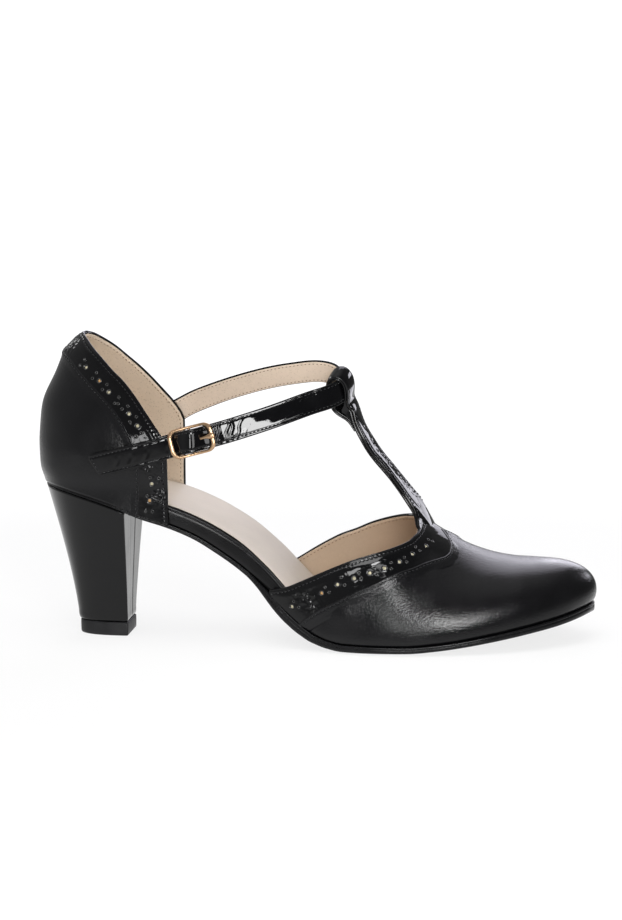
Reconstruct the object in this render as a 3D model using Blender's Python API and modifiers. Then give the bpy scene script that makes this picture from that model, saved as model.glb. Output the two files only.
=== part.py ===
"""A strap pump for the right foot: T-bar and ankle strap with a buckle, open sides, covered block heel.
Heights run up z, the toe points to +x and the outer side of the foot is -y. Tables are in millimetres."""

import bpy
import bmesh
import math

import numpy as np

# ---------------------------------------------------------------- driving sizes, in millimetres
WALL = 2.0            # leather and lining of vamp and quarter
FIT = 0.3             # space left between pieces that meet
SOLE_FORE = 3.5       # outsole under the forefoot
SOLE_WAIST = 1.5      # outsole at the waist
SOLE_SEAT = 1.1       # outsole skived under the heel seat
STRAP_WIDE = 10.2
STRAP_THICK = 1.9
TBAR_WIDE = 10.6
TBAR_THICK = 2.6
TOP_PIECE_TALL = 6.0
HEEL_FRONT = 41.0     # where the heel's front face meets the sole
QUARTER_FRONT = 60.2  # front edge of the quarter
VAMP_BACK = 105.0     # rear end of the vamp's wings
THROAT = 168.0        # vamp edge under the T-bar
POLE_X = 214.0        # middle of the round toe
ORIGIN = (121.457, -1.775, 0.0)   # middle of the shoe's box on the floor


def table(text):
    """Named columns from a short table."""
    rows = [line.split() for line in text.strip().splitlines()]
    return {name: np.array([float(row[i]) for row in rows[1:]]) for i, name in enumerate(rows[0])}


def spline(xs, ys):
    """Cubic through the rows of a table with even curvature, straight beyond its ends."""
    xs, ys = np.asarray(xs, float), np.asarray(ys, float)
    n = len(xs)
    h = np.diff(xs)
    a = np.zeros((n, n))
    b = np.zeros(n)
    a[0, 0] = a[-1, -1] = 1.0
    for i in range(1, n - 1):
        a[i, i - 1], a[i, i], a[i, i + 1] = h[i - 1], 2 * (h[i - 1] + h[i]), h[i]
        b[i] = 6 * ((ys[i + 1] - ys[i]) / h[i] - (ys[i] - ys[i - 1]) / h[i - 1])
    m = np.linalg.solve(a, b)
    first = (ys[1] - ys[0]) / h[0] - h[0] * (2 * m[0] + m[1]) / 6
    last = (ys[-1] - ys[-2]) / h[-1] + h[-1] * (m[-2] + 2 * m[-1]) / 6

    def f(x):
        x = np.asarray(x, float)
        c = np.clip(x, xs[0], xs[-1])
        i = np.clip(np.searchsorted(xs, c) - 1, 0, n - 2)
        u, v = xs[i + 1] - c, c - xs[i]
        y = (m[i] * u**3 + m[i + 1] * v**3) / (6 * h[i]) + (ys[i] / h[i] - m[i] * h[i] / 6) * u + (ys[i + 1] / h[i] - m[i + 1] * h[i] / 6) * v
        return y + first * np.minimum(x - xs[0], 0) + last * np.maximum(x - xs[-1], 0)

    return f


def steady(xs, ys):
    """Cubic through the rows of a table that never overshoots them, level beyond its ends."""
    xs, ys = np.asarray(xs, float), np.asarray(ys, float)
    h, d = np.diff(xs), np.diff(ys) / np.diff(xs)
    m = np.zeros(len(xs))
    for i in range(1, len(xs) - 1):
        if d[i - 1] * d[i] > 0:
            w1, w2 = 2 * h[i] + h[i - 1], h[i] + 2 * h[i - 1]
            m[i] = (w1 + w2) / (w1 / d[i - 1] + w2 / d[i])
    m[0], m[-1] = d[0], d[-1]

    def f(x):
        c = np.clip(np.asarray(x, float), xs[0], xs[-1])
        i = np.clip(np.searchsorted(xs, c) - 1, 0, len(h) - 1)
        t = (c - xs[i]) / h[i]
        return (
            ys[i] * (1 + 2 * t) * (1 - t) ** 2
            + ys[i + 1] * t * t * (3 - 2 * t)
            + h[i] * (m[i] * t * (1 - t) ** 2 - m[i + 1] * t * t * (1 - t))
        )

    return f


# ---------------------------------------------------------------- plan of the upper at the feather line
# x from the back of the heel, outer and inner side of the foot (a right shoe: outer side -y)
HEEL_BACK = (2.0, 0.0)
TOE_TIP = (242.4, 3.6)
PLAN = table("""
x      outer   inner
5.3    -12.6    12.6
14.0   -21.9    21.7
28.0   -27.0    26.6
45.0   -28.2    26.6
62.0   -27.2    23.4
80.0   -26.6    20.2
98.0   -28.8    19.8
116.0  -33.8    23.2
134.0  -39.0    30.0
152.0  -42.2    36.2
168.0  -42.6    39.0
184.0  -40.4    38.8
200.0  -35.9    36.6
215.0  -29.0    32.4
228.0  -20.0    25.6
237.2  -9.4     17.0
""")


def plan_points(count=1440):
    """The plan as a dense closed line, from the heel back along the outer side to the toe and back."""
    pts = [HEEL_BACK] + list(zip(PLAN["x"], PLAN["outer"])) + [TOE_TIP] + list(zip(PLAN["x"][::-1], PLAN["inner"][::-1]))
    pts = np.array(pts)
    n = len(pts)
    around = np.concatenate([pts[-3:], pts, pts[:4]])
    s = np.concatenate([[0], np.cumsum(np.hypot(*np.diff(around, axis=0).T))])
    fx, fy = spline(s, around[:, 0]), spline(s, around[:, 1])
    t = np.linspace(s[3], s[3 + n], count, endpoint=False)
    return np.stack([fx(t), fy(t)], 1)


PLAN_LINE = plan_points()


def grown(line, by):
    """The closed line moved outwards by an amount that may change along it."""
    d = np.roll(line, -1, 0) - np.roll(line, 1, 0)
    d /= np.linalg.norm(d, axis=1)[:, None]
    return line + np.stack([d[:, 1], -d[:, 0]], 1) * np.asarray(by).reshape(-1, 1)


def sides(line):
    """Functions outer(x) and inner(x) of a closed line, with its two ends in x."""
    i0, i1 = int(np.argmin(line[:, 0])), int(np.argmax(line[:, 0]))
    ring = np.roll(line, -i0, 0)
    k = (i1 - i0) % len(line)
    a, b = ring[: k + 1], np.concatenate([ring[k:], ring[:1]])[::-1]
    if a[len(a) // 2, 1] > b[len(b) // 2, 1]:
        a, b = b, a
    a, b = a[np.argsort(a[:, 0])], b[np.argsort(b[:, 0])]
    return (lambda x: np.interp(x, a[:, 0], a[:, 1])), (lambda x: np.interp(x, b[:, 0], b[:, 1])), line[i0, 0], line[i1, 0]


OUTER, INNER, PLAN_X0, PLAN_X1 = sides(PLAN_LINE)

# ---------------------------------------------------------------- profile of the sole, heights above the floor
# feather = top of the outsole on the outer side, arch = how much higher on the inner side
PROFILE = table("""
x      feather  arch  insole
0.0    68.8     0.0   4.6
10.0   67.9     0.0   4.8
23.0   65.2     0.0   5.4
35.0   61.7     0.2   6.2
47.0   57.2     0.6   7.2
60.0   52.9     1.6   8.0
71.0   48.2     2.5   8.3
82.0   41.6     3.1   9.3
93.5   33.7     3.2   9.8
104.0  24.6     2.9   9.8
113.0  16.1     2.1   9.0
119.0  11.2     1.2   8.0
125.0  7.4      0.8   6.6
131.0  5.2      0.4   5.4
138.0  4.0      0.1   4.6
150.0  3.8      0.0   4.2
165.0  3.9      0.0   4.0
179.0  5.0      0.0   3.8
189.0  6.3      0.0   3.7
199.0  7.9      0.0   3.6
209.0  9.6      0.0   3.5
219.0  11.4     0.0   3.4
229.0  13.4     0.0   3.3
238.0  15.4     0.0   3.2
244.0  16.9     0.0   3.2
""")
F_FEATHER = steady(PROFILE["x"], PROFILE["feather"])
F_ARCH = steady(PROFILE["x"], PROFILE["arch"])
F_INSOLE = steady(PROFILE["x"], PROFILE["insole"])

# outsole: edge = how far it stands out from the upper, thick = at right angles to its slope, crown = rise of its edges
SOLE = table("""
x      edge   thick  crown
0.0    -0.9   1.1    0.0
40.0   -0.9   1.3    0.0
50.0   -1.6   1.9    0.2
62.0   -2.0   2.1    0.4
94.0   -1.8   2.2    0.4
100.0  -1.0   2.7    0.3
106.0  0.4    3.6    0.2
114.0  1.0    3.9    0.4
128.0  1.1    3.8    0.9
166.0  1.2    3.5    1.1
186.0  1.2    3.6    1.2
215.0  1.1    3.8    1.1
232.0  0.7    3.8    0.7
244.0  0.3    3.6    0.6
""")
F_EDGE = steady(SOLE["x"], SOLE["edge"])
F_THICK = steady(SOLE["x"], SOLE["thick"])
F_CROWN = steady(SOLE["x"], SOLE["crown"])


def across(x, y):
    """0 on the outer side, 1 on the inner side of the plan."""
    a, b = OUTER(x), INNER(x)
    return np.clip((y - a) / np.maximum(b - a, 1e-6), -0.1, 1.1)


def feather(x, y):
    return F_FEATHER(x) + F_ARCH(x) * across(x, y)


def sole_top(x, y):
    return feather(x, y) - FIT


def sole_bottom(x, y):
    """The outsole's underside, level on the floor under the ball."""
    slope = (F_FEATHER(x + 0.5) - F_FEATHER(x - 0.5))
    low = sole_top(x, y) - F_THICK(x) * np.sqrt(1 + slope * slope)
    mid = 0.5 * (OUTER(x) + INNER(x))
    half = np.maximum(0.5 * (INNER(x) - OUTER(x)), 4.0)
    low = low + F_CROWN(x) * ((y - mid) / half) ** 2
    return np.where(x > 100, np.maximum(low - 0.25, 0.0), low)


def insole_top(x, y):
    return feather(x, y) + F_INSOLE(x)


# ---------------------------------------------------------------- forepart of the last
# ridge = height of the instep line, off = its place across, full = squareness of the section
FORE = table("""
x      ridge  off   full
100.0  122.0  2.0   1.90
110.0  118.0  2.0   1.88
120.0  112.0  2.0   1.86
130.0  104.0  2.0   1.84
138.0  95.4   2.0   1.82
142.5  88.2   2.0   1.82
147.0  81.2   2.0   1.82
151.5  75.4   2.0   1.82
156.0  70.0   2.1   1.82
160.0  64.0   2.2   1.83
164.0  58.2   2.4   1.84
168.0  53.2   2.5   1.86
172.5  49.4   2.6   1.88
178.0  45.9   2.7   1.92
183.0  43.0   2.7   1.97
188.0  40.6   2.6   2.03
193.0  38.6   2.5   2.09
198.0  37.1   2.4   2.16
204.0  35.9   2.2   2.24
209.0  35.2   2.1   2.32
214.0  35.0   2.0   2.40
""")
F_RIDGE = steady(FORE["x"], FORE["ridge"])
F_OFF = spline(FORE["x"], FORE["off"])
F_FULL = spline(FORE["x"], FORE["full"])
POLE = (POLE_X, float(F_OFF(POLE_X)), float(F_RIDGE(POLE_X)))
TOE_FULL = 3.0        # squareness of the section at the toe tip
TOE_BULGE = 0.9       # how far the wall swells above the feather line
TIP_BULGE = 0.9       # how much more it swells at the toe tip

# upper edge of the vamp on each side
TOPLINE = table("""
x      outer  inner
103.0  24.8   26.6
108.0  25.9   28.8
113.0  27.2   31.6
118.0  29.4   34.4
123.0  31.7   36.9
129.0  34.5   39.6
135.4  37.3   41.6
142.0  39.9   44.2
148.0  41.7   46.0
154.0  43.3   47.4
159.0  44.6   48.3
163.0  45.7   49.0
165.5  46.7   49.9
167.5  48.6   51.6
""")
F_TOP_OUTER = steady(TOPLINE["x"], TOPLINE["outer"])
F_TOP_INNER = steady(TOPLINE["x"], TOPLINE["inner"])


def toe_reach():
    """Distance from the pole to the plan for an angle: -90 deg outer side, 0 toe, 90 inner side."""
    d = PLAN_LINE - np.array(POLE[:2])
    ang = np.degrees(np.arctan2(d[:, 1], d[:, 0]))
    keep = np.abs(ang) < 115
    ang, reach = ang[keep], np.hypot(d[keep, 0], d[keep, 1])
    order = np.argsort(ang)
    return ang[order], reach[order]


TOE_ANG, TOE_REACH = toe_reach()


def section(foot, top, full, th):
    """A point of the wall between its foot on the feather line and its top, th from 0 to pi/2."""
    foot, top = np.asarray(foot, float), np.asarray(top, float)
    c, s = np.maximum(np.cos(th), 0.0) ** (2 / full), np.maximum(np.sin(th), 0.0) ** (2 / full)
    flat = foot[:2] - top[:2]
    reach = np.linalg.norm(flat)
    z = foot[2] + (top[2] - foot[2]) * s
    tip = min(max((full - 2.4) / (TOE_FULL - 2.4), 0.0), 1.0)
    swell = (TOE_BULGE + TIP_BULGE * tip) * (1 - np.exp(-(z - foot[2]) / 3.0))
    xy = top[:2] + flat * c * (1 + swell / reach)
    return np.array([xy[0], xy[1], z])


def column(side, x=None, ang=None):
    """Foot, top and squareness of one wall section: across the shoe at x, or radial at the toe."""
    if ang is None:
        y = float(OUTER(x) if side < 0 else INNER(x))
        return (x, y, float(feather(x, y))), (x, float(F_OFF(x)), float(F_RIDGE(x))), float(F_FULL(x))
    r = float(np.interp(ang, TOE_ANG, TOE_REACH))
    px, py = POLE[0] + r * math.cos(math.radians(ang)), POLE[1] + r * math.sin(math.radians(ang))
    full = float(F_FULL(POLE_X)) + (TOE_FULL - float(F_FULL(POLE_X))) * math.cos(math.radians(ang)) ** 2
    return (px, py, float(feather(px, py))), POLE, full


def th_at_height(col, z):
    foot, top, full = col
    f = min(max((z - foot[2]) / (top[2] - foot[2]), 0.0), 1.0)
    return math.asin(min(f ** (full / 2), 1.0))


def th_at_reach(col, away):
    foot, top, full = col
    reach = math.hypot(foot[0] - top[0], foot[1] - top[1])
    return math.acos(min((away / reach) ** (full / 2), 1.0))


# ---------------------------------------------------------------- heel part of the upper
# each ring of the quarter: back = x of its rearmost point, wide = width against the plan
RING = table("""
z      back   wide
48.0   1.6    1.000
62.0   1.7    1.000
68.8   1.6    1.005
73.0   0.2    1.020
79.0   -0.5   1.035
86.0   -0.6   1.035
93.0   -0.2   1.005
99.0   0.3    0.955
104.0  1.3    0.900
110.0  3.9    0.825
115.5  6.7    0.755
121.5  9.2    0.675
126.0  11.4   0.605
129.5  14.7   0.535
133.2  19.2   0.440
""")
F_BACK = spline(RING["z"], RING["back"])
F_WIDE = spline(RING["z"], RING["wide"])
COLLAR = table("""
x      outer  inner
20.0   133.0  133.0
22.5   131.2  131.6
25.0   128.8  129.6
30.4   123.8  125.2
35.4   118.9  120.4
40.3   114.6  115.8
45.1   109.2  110.8
50.0   102.6  105.2
54.8   95.8   99.6
57.6   91.6   95.6
59.4   87.4   91.4
60.2   83.4   87.0
""")
F_COLLAR_OUTER = steady(COLLAR["x"], COLLAR["outer"])
F_COLLAR_INNER = steady(COLLAR["x"], COLLAR["inner"])


def quarter_plan(count):
    """Plan points of the quarter, from its outer front edge round the back to its inner front edge."""
    keep = PLAN_LINE[:, 0] <= QUARTER_FRONT + 3
    ring = np.roll(PLAN_LINE, len(PLAN_LINE) // 2, 0)
    keep = np.roll(keep, len(PLAN_LINE) // 2)
    line = ring[keep]
    if line[0, 1] > 0:
        line = line[::-1]
    a = np.argmin(np.where(line[:, 1] < 0, np.abs(line[:, 0] - QUARTER_FRONT), 1e9))
    b = np.argmin(np.where(line[:, 1] > 0, np.abs(line[:, 0] - (QUARTER_FRONT - 1.0)), 1e9))
    line = line[a : b + 1]
    s = np.concatenate([[0], np.cumsum(np.hypot(*np.diff(line, axis=0).T))])
    t = np.linspace(0, s[-1], count)
    return np.stack([np.interp(t, s, line[:, 0]), np.interp(t, s, line[:, 1])], 1)


def quarter_at(p, z):
    """The quarter's outer face above plan point p at height z."""
    back = float(F_BACK(z))
    x = QUARTER_FRONT - (QUARTER_FRONT - p[0]) * (QUARTER_FRONT - back) / (QUARTER_FRONT - HEEL_BACK[0])
    return np.array([x, p[1] * float(F_WIDE(z)), z])


def quarter_top(p):
    f = F_COLLAR_OUTER if p[1] < 0 else F_COLLAR_INNER
    lo, hi = 60.0, 134.0
    for _ in range(40):
        mid = 0.5 * (lo + hi)
        if mid < float(f(quarter_at(p, mid)[0])):
            lo = mid
        else:
            hi = mid
    return lo


def quarter_side(x, z, side):
    """y of the quarter's outer face at x and z."""
    back = float(F_BACK(z))
    px = QUARTER_FRONT - (QUARTER_FRONT - x) * (QUARTER_FRONT - HEEL_BACK[0]) / (QUARTER_FRONT - back)
    return float(OUTER(px) if side < 0 else INNER(px)) * float(F_WIDE(z))


# ---------------------------------------------------------------- straps
def frames(line, up):
    """Tangent, outward normal and width direction along a line, the width as near to up as it can be."""
    t = np.gradient(line, axis=0)
    t /= np.linalg.norm(t, axis=1)[:, None]
    w = up - t * np.sum(up * t, 1)[:, None]
    w /= np.linalg.norm(w, axis=1)[:, None]
    n = np.cross(t, w)
    return t, n, w


# centre of the ankle strap, from its seam on the inner side of the quarter to the tip of its tail;
# lean = how far its upper edge tips inwards, in degrees; off = distance from the quarter's face where it lies on it
ANKLE = """
x      y      z      lean  off
41.0   0      86.6   4     1.5
48.0   0      90.4   8     1.5
55.0   0      94.2   12    1.6
62.0   26.6   98.0   15    0
70.0   24.9   101.6  17    0
80.0   22.6   105.4  18    0
91.0   19.8   109.0  18    0
102.0  16.6   112.0  17    0
113.0  13.0   114.2  16    0
122.0  10.4   115.2  14    0
129.4  7.4    113.9  11    0
132.7  2.6    111.7  8     0
133.6  -1.6   110.3  8     0
132.9  -5.8   108.9  8     0
129.6  -9.2   107.2  10    0
122.6  -12.5  105.1  13    0
114.0  -16.3  102.3  16    0
104.0  -20.3  99.0   16    0
94.0   -23.6  96.0   14    0
86.0   -25.9  93.7   12    0
80.2   -27.5  92.2   9     0
75.8   -29.6  91.2   8     0
71.6   -32.8  90.4   7     0
67.6   -31.4  89.3   6     0
62.8   -30.3  88.0   4     0
57.0   0      86.3   1     2.9
50.0   0      84.5   1     2.9
43.0   0      82.6   0     2.8
36.0   0      80.8   -1    2.3
31.0   0      79.4   -2    1.9
27.6   0      78.5   -3    1.7
"""
ANKLE_STEPS = 80


def ankle_line(count=ANKLE_STEPS):
    """Centre, tangent, outward normal and width direction along the ankle strap."""
    t = table(ANKLE)
    p = np.stack([t["x"], t["y"], t["z"]], 1)
    for i, off in enumerate(t["off"]):
        if off > 0:
            side = 1 if i < len(p) // 2 else -1
            p[i, 1] = quarter_side(p[i, 0], p[i, 2], side) + side * off
    s = np.concatenate([[0], np.cumsum(np.linalg.norm(np.diff(p, axis=0), axis=1))])
    u = np.linspace(0, s[-1], count)
    line = np.stack([spline(s, p[:, i])(u) for i in range(3)], 1)
    lean = np.radians(spline(s, t["lean"])(u))[:, None]
    tan, nor, wid = frames(line, np.tile([0.0, 0.0, 1.0], (count, 1)))
    # the strap runs round the foot with its outer face on the left of the way along it
    out = -nor if nor[count // 2, 0] < 0 else nor
    return line, tan, out * np.cos(lean) + wid * np.sin(lean), wid * np.cos(lean) - out * np.sin(lean)


# middle of the T-bar, from its sewn end on the vamp up to the ankle strap, over it and down behind it;
# tilt = how far its face turns to the outer side in degrees, bend = its curve across
TBAR = """
x      y     z      wide  thick  tilt   bend
176.8  1.8   47.85  14.0  1.0    2      0.022
173.4  1.6   50.4   12.8  1.6    3      0.021
170.3  1.2   53.3   11.8  2.2    5      0.018
164.9  0.4   59.5   10.9  2.5    9      0.016
160.6  0.2   65.3   10.6  2.6    9      0.018
156.6  0.0   70.6   10.6  2.6    9      0.014
152.1  -0.2  76.1   10.6  2.6    10     0.012
147.6  -0.4  81.7   10.6  2.6    11     0.010
143.3  -0.6  88.7   10.6  2.6    12     0.008
140.0  0.2   95.1   10.4  2.6    12     0.006
138.4  0.7   101.0  10.0  2.5    9      0.000
137.5  -0.6  106.6  9.6   2.3    3      0.000
136.7  -2.2  112.4  9.4   2.1    2      0.000
135.1  -3.4  116.9  9.4   2.0    0      0.000
132.5  -3.9  118.4  9.4   2.0    0      0.000
129.4  -3.3  116.6  9.0   2.0    0      0.000
128.9  -2.1  112.0  9.0   2.0    0      0.000
130.0  -0.6  106.6  9.0   2.0    0      0.000
132.2  0.3   101.8  9.2   1.8    -3     0.000
134.7  0.6   98.4   9.2   1.6    -9     0.000
136.8  0.4   95.2   9.0   1.4    -12    0.000
138.9  0.1   91.4   9.0   1.0    -13    0.000
"""
TBAR_STEPS = 48


def tbar_line(count=TBAR_STEPS):
    """Centre, tangent, outward normal, width direction, width, thickness and curve across along the T-bar."""
    t = table(TBAR)
    p = np.stack([t["x"], t["y"], t["z"]], 1)
    s = np.concatenate([[0], np.cumsum(np.linalg.norm(np.diff(p, axis=0), axis=1))])
    u = np.linspace(0, s[-1], count)
    line = np.stack([spline(s, p[:, i])(u) for i in range(3)], 1)
    tan, nor, wid = frames(line, np.tile([0.0, 1.0, 0.0], (count, 1)))
    tilt = np.radians(spline(s, t["tilt"])(u))[:, None]
    out = -nor
    return line, tan, out * np.cos(tilt) - wid * np.sin(tilt), wid * np.cos(tilt) + out * np.sin(tilt), spline(s, t["wide"])(u), spline(s, t["thick"])(u), spline(s, t["bend"])(u)


# ---------------------------------------------------------------- buckle, in its own directions
BAR_MIDDLE = np.array([71.6, -29.2, 90.1])    # middle of the centre bar
BUCKLE_HALF_LONG = 9.0                        # to the middle of the end bars
BUCKLE_HALF_WIDE = 6.05                       # to the middle of the side bars
BUCKLE_ARCH = 2.6                             # how far the end bars stand out from the centre bar
BUCKLE_CORNER = 3.3
BAR_ROUND = 0.6
PRONG_ROUND = 0.62


def buckle_frame_axes():
    along = np.array([1.0, 0.17, 0.245])
    along /= np.linalg.norm(along)
    wide = np.array([-0.235, 0.12, 1.0])
    wide -= along * wide.dot(along)
    wide /= np.linalg.norm(wide)
    out = np.cross(along, wide)
    if out[1] > 0:
        out = -out
    return along, wide, out


def buckle_point(u, w, n):
    a, b, c = buckle_frame_axes()
    return BAR_MIDDLE + a * u + b * w + c * n


def buckle_loop(count=56):
    """Middle line of the frame as (along, wide) pairs: a rectangle with round corners."""
    hl, hw, r = BUCKLE_HALF_LONG, BUCKLE_HALF_WIDE, BUCKLE_CORNER
    pts = []
    for cx, cy, a0 in ((hl - r, hw - r, 0), (-hl + r, hw - r, 90), (-hl + r, -hw + r, 180), (hl - r, -hw + r, 270)):
        for k in range(9):
            a = math.radians(a0 + 90 * k / 8)
            pts.append((cx + r * math.cos(a), cy + r * math.sin(a)))
    pts = np.array(pts + [pts[0]])
    s = np.concatenate([[0], np.cumsum(np.hypot(*np.diff(pts, axis=0).T))])
    u = np.linspace(0, s[-1], count, endpoint=False)
    return np.stack([np.interp(u, s, pts[:, 0]), np.interp(u, s, pts[:, 1])], 1)


# tongue of the buckle from its eye on the centre bar through the strap to the front end bar
PRONG = """
along  out
1.2    1.35
3.0    1.85
5.0    2.75
7.0    3.75
8.8    4.38
10.3   4.30
"""
# tab: along the strap from its sewn end on the quarter to the centre bar, round it and back
TAB_EYE = 1.35        # radius of its roll to the middle of the leather
TAB_THICK = 0.8
TAB_WIDE = 9.0
TAB_SEWN = (46.0, 51.0, 56.5)    # x of its sewn part on the quarter

# ================================================================ the solids
MM = 0.001
for old in list(bpy.data.objects):
    bpy.data.objects.remove(old, do_unlink=True)

scene = bpy.context.scene
shoe = bpy.data.collections.new("strap_pump")
helpers = bpy.data.collections.new("cutters")
scene.collection.children.link(shoe)
scene.collection.children.link(helpers)
helpers.hide_render = True
root = bpy.data.objects.new("strap_pump_root", None)
shoe.objects.link(root)


def material(name, colour, rough, metal=0.0, coat=0.0):
    mat = bpy.data.materials.new(name)
    mat.use_nodes = True
    node = next(n for n in mat.node_tree.nodes if n.type == "BSDF_PRINCIPLED")
    node.inputs["Base Color"].default_value = (*colour, 1.0)
    node.inputs["Roughness"].default_value = rough
    node.inputs["Metallic"].default_value = metal
    node.inputs["Coat Weight"].default_value = coat
    return mat


BLACK_CALF = material("black_calf", (0.012, 0.012, 0.014), 0.38)
BLACK_PATENT = material("black_patent", (0.008, 0.008, 0.010), 0.16, coat=0.8)
INSOLE_WRAP = material("insole_wrap", (0.02, 0.019, 0.02), 0.5)
SOLE_STUFF = material("sole_rubber", (0.02, 0.02, 0.022), 0.6)
HEEL_COVER = material("heel_cover", (0.014, 0.014, 0.016), 0.34)
TOP_RUBBER = material("top_piece_rubber", (0.018, 0.018, 0.018), 0.6)
GOLD = material("rose_gold", (0.72, 0.45, 0.26), 0.2, metal=1.0)


def shifted(points):
    return (np.asarray(points, float) - np.array(ORIGIN)) * MM


def solid(name, points, faces, mat, smooth=True, helper=False):
    mesh = bpy.data.meshes.new(name)
    mesh.from_pydata([tuple(p) for p in shifted(points)], [], [tuple(int(i) for i in f) for f in faces])
    mesh.validate()
    for poly in mesh.polygons:
        poly.use_smooth = smooth
    obj = bpy.data.objects.new(name, mesh)
    if helper:
        helpers.objects.link(obj)
        obj.hide_render = True
        obj.display_type = "WIRE"
    else:
        shoe.objects.link(obj)
        obj.parent = root
        mesh.materials.append(mat)
    return obj


def facing_out(obj):
    """Turns the faces of a closed mesh outwards."""
    bm = bmesh.new()
    bm.from_mesh(obj.data)
    bmesh.ops.recalc_face_normals(bm, faces=bm.faces[:])
    bm.to_mesh(obj.data)
    bm.free()
    return obj


def cut(obj, other, operation="DIFFERENCE"):
    mod = obj.modifiers.new(operation.lower(), "BOOLEAN")
    mod.operation = operation
    mod.solver = "EXACT"
    mod.object = other


def plate(name, line, top, bottom, mat, stations=40, lanes=7, inset=0.12):
    """A curved plate inside a closed plan line, between two height functions of x and y."""
    out, inn, x0, x1 = sides(line)
    e = 0.5 - 0.5 * np.cos(np.pi * np.linspace(0, 1, stations))
    t = 0.35 * e + 0.65 * np.linspace(0, 1, stations)
    t = np.where(t < 0.06, e * 0.5 + t * 0.5, t)
    t = np.where(t > 0.94, 1 - ((1 - e) * 0.5 + (1 - t) * 0.5), t)
    xs = (x0 + inset) + (x1 - x0 - 2 * inset) * t
    pts, faces = [], []
    for level in (top, bottom):
        for x in xs:
            a, b = float(out(x)), float(inn(x))
            for k in range(lanes):
                y = a + (b - a) * k / (lanes - 1)
                pts.append((x, y, float(level(x, y))))
    n, m = stations, lanes
    at = lambda layer, i, k: layer * n * m + i * m + k
    for i in range(n - 1):
        for k in range(m - 1):
            faces.append((at(0, i, k), at(0, i + 1, k), at(0, i + 1, k + 1), at(0, i, k + 1)))
            faces.append((at(1, i, k), at(1, i, k + 1), at(1, i + 1, k + 1), at(1, i + 1, k)))
        faces.append((at(1, i, 0), at(1, i + 1, 0), at(0, i + 1, 0), at(0, i, 0)))
        faces.append((at(1, i, m - 1), at(0, i, m - 1), at(0, i + 1, m - 1), at(1, i + 1, m - 1)))
    for k in range(m - 1):
        faces.append((at(1, 0, k), at(0, 0, k), at(0, 0, k + 1), at(1, 0, k + 1)))
        faces.append((at(1, n - 1, k), at(1, n - 1, k + 1), at(0, n - 1, k + 1), at(0, n - 1, k)))
    return facing_out(solid(name, pts, faces, mat))


def sweep(name, line, normal, wide_dir, wide, thick, mat, crown=0.0, bend=None):
    """A strap of given width and thickness along a line, with eased edges and closed ends."""
    n = len(line)
    wide = np.broadcast_to(np.asarray(wide, float), n)
    thick = np.broadcast_to(np.asarray(thick, float), n)
    pts, faces = [], []
    for i in range(n):
        w, t = wide[i] / 2, thick[i] / 2
        e = min(0.45, 0.6 * t)
        ring = [(-w + e, -t), (w - e, -t), (w, -t + e), (w, t - e), (w - e, t), (0.0, t + crown), (-w + e, t), (-w, t - e), (-w, -t + e)]
        if bend is not None:
            ring[1:1] = [(-w / 2, -t), (0.0, -t), (w / 2, -t)]
            ring[8:9] = [(w / 2, t + 0.75 * crown), (0.0, t + crown), (-w / 2, t + 0.75 * crown)]
        for a, b in ring:
            drop = 0.0 if bend is None else 0.5 * bend[i] * a * a
            pts.append(line[i] + wide_dir[i] * a + normal[i] * (b - drop))
    m = len(ring)
    for i in range(n - 1):
        for k in range(m):
            q = (k + 1) % m
            faces.append((i * m + k, i * m + q, (i + 1) * m + q, (i + 1) * m + k))
    faces.append(tuple(range(m)))
    faces.append(tuple((n - 1) * m + k for k in reversed(range(m))))
    return facing_out(solid(name, pts, faces, mat))


def tube(name, line, radius, mat, sides_count=10, helper=False, up=(0.0, 0.0, 1.0), closed=False, shape=None):
    """A round rod along a line; shape gives its two half-sizes at each point instead of one radius."""
    line = np.asarray(line, float)
    n = len(line)
    tan = (np.roll(line, -1, 0) - np.roll(line, 1, 0)) if closed else np.gradient(line, axis=0)
    tan /= np.linalg.norm(tan, axis=1)[:, None]
    up = np.broadcast_to(np.asarray(up, float), (n, 3))
    v = up - tan * np.sum(up * tan, 1)[:, None]
    v /= np.linalg.norm(v, axis=1)[:, None]
    u = np.cross(tan, v)
    pts, faces = [], []
    for i in range(n):
        ru, rv = (radius, radius) if shape is None else shape[i]
        for k in range(sides_count):
            a = 2 * math.pi * k / sides_count
            pts.append(line[i] + u[i] * ru * math.cos(a) + v[i] * rv * math.sin(a))
    m = sides_count
    for i in range(n if closed else n - 1):
        j = (i + 1) % n
        for k in range(m):
            q = (k + 1) % m
            faces.append((i * m + k, i * m + q, j * m + q, j * m + k))
    if not closed:
        faces.append(tuple(range(m)))
        faces.append(tuple((n - 1) * m + k for k in reversed(range(m))))
    return facing_out(solid(name, pts, faces, mat, helper=helper))


def shell(obj, thick):
    mod = obj.modifiers.new("wall", "SOLIDIFY")
    mod.thickness = thick * MM
    mod.offset = -1.0
    mod.use_even_offset = True
    mod.use_rim = True
    return obj


# ---------------------------------------------------------------- outsole and insole
plate("outsole", grown(PLAN_LINE, F_EDGE(PLAN_LINE[:, 0])), sole_top, sole_bottom, SOLE_STUFF)
plate("insole", grown(PLAN_LINE, np.full(len(PLAN_LINE), -(WALL + 0.5))), insole_top, feather, INSOLE_WRAP)


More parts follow.
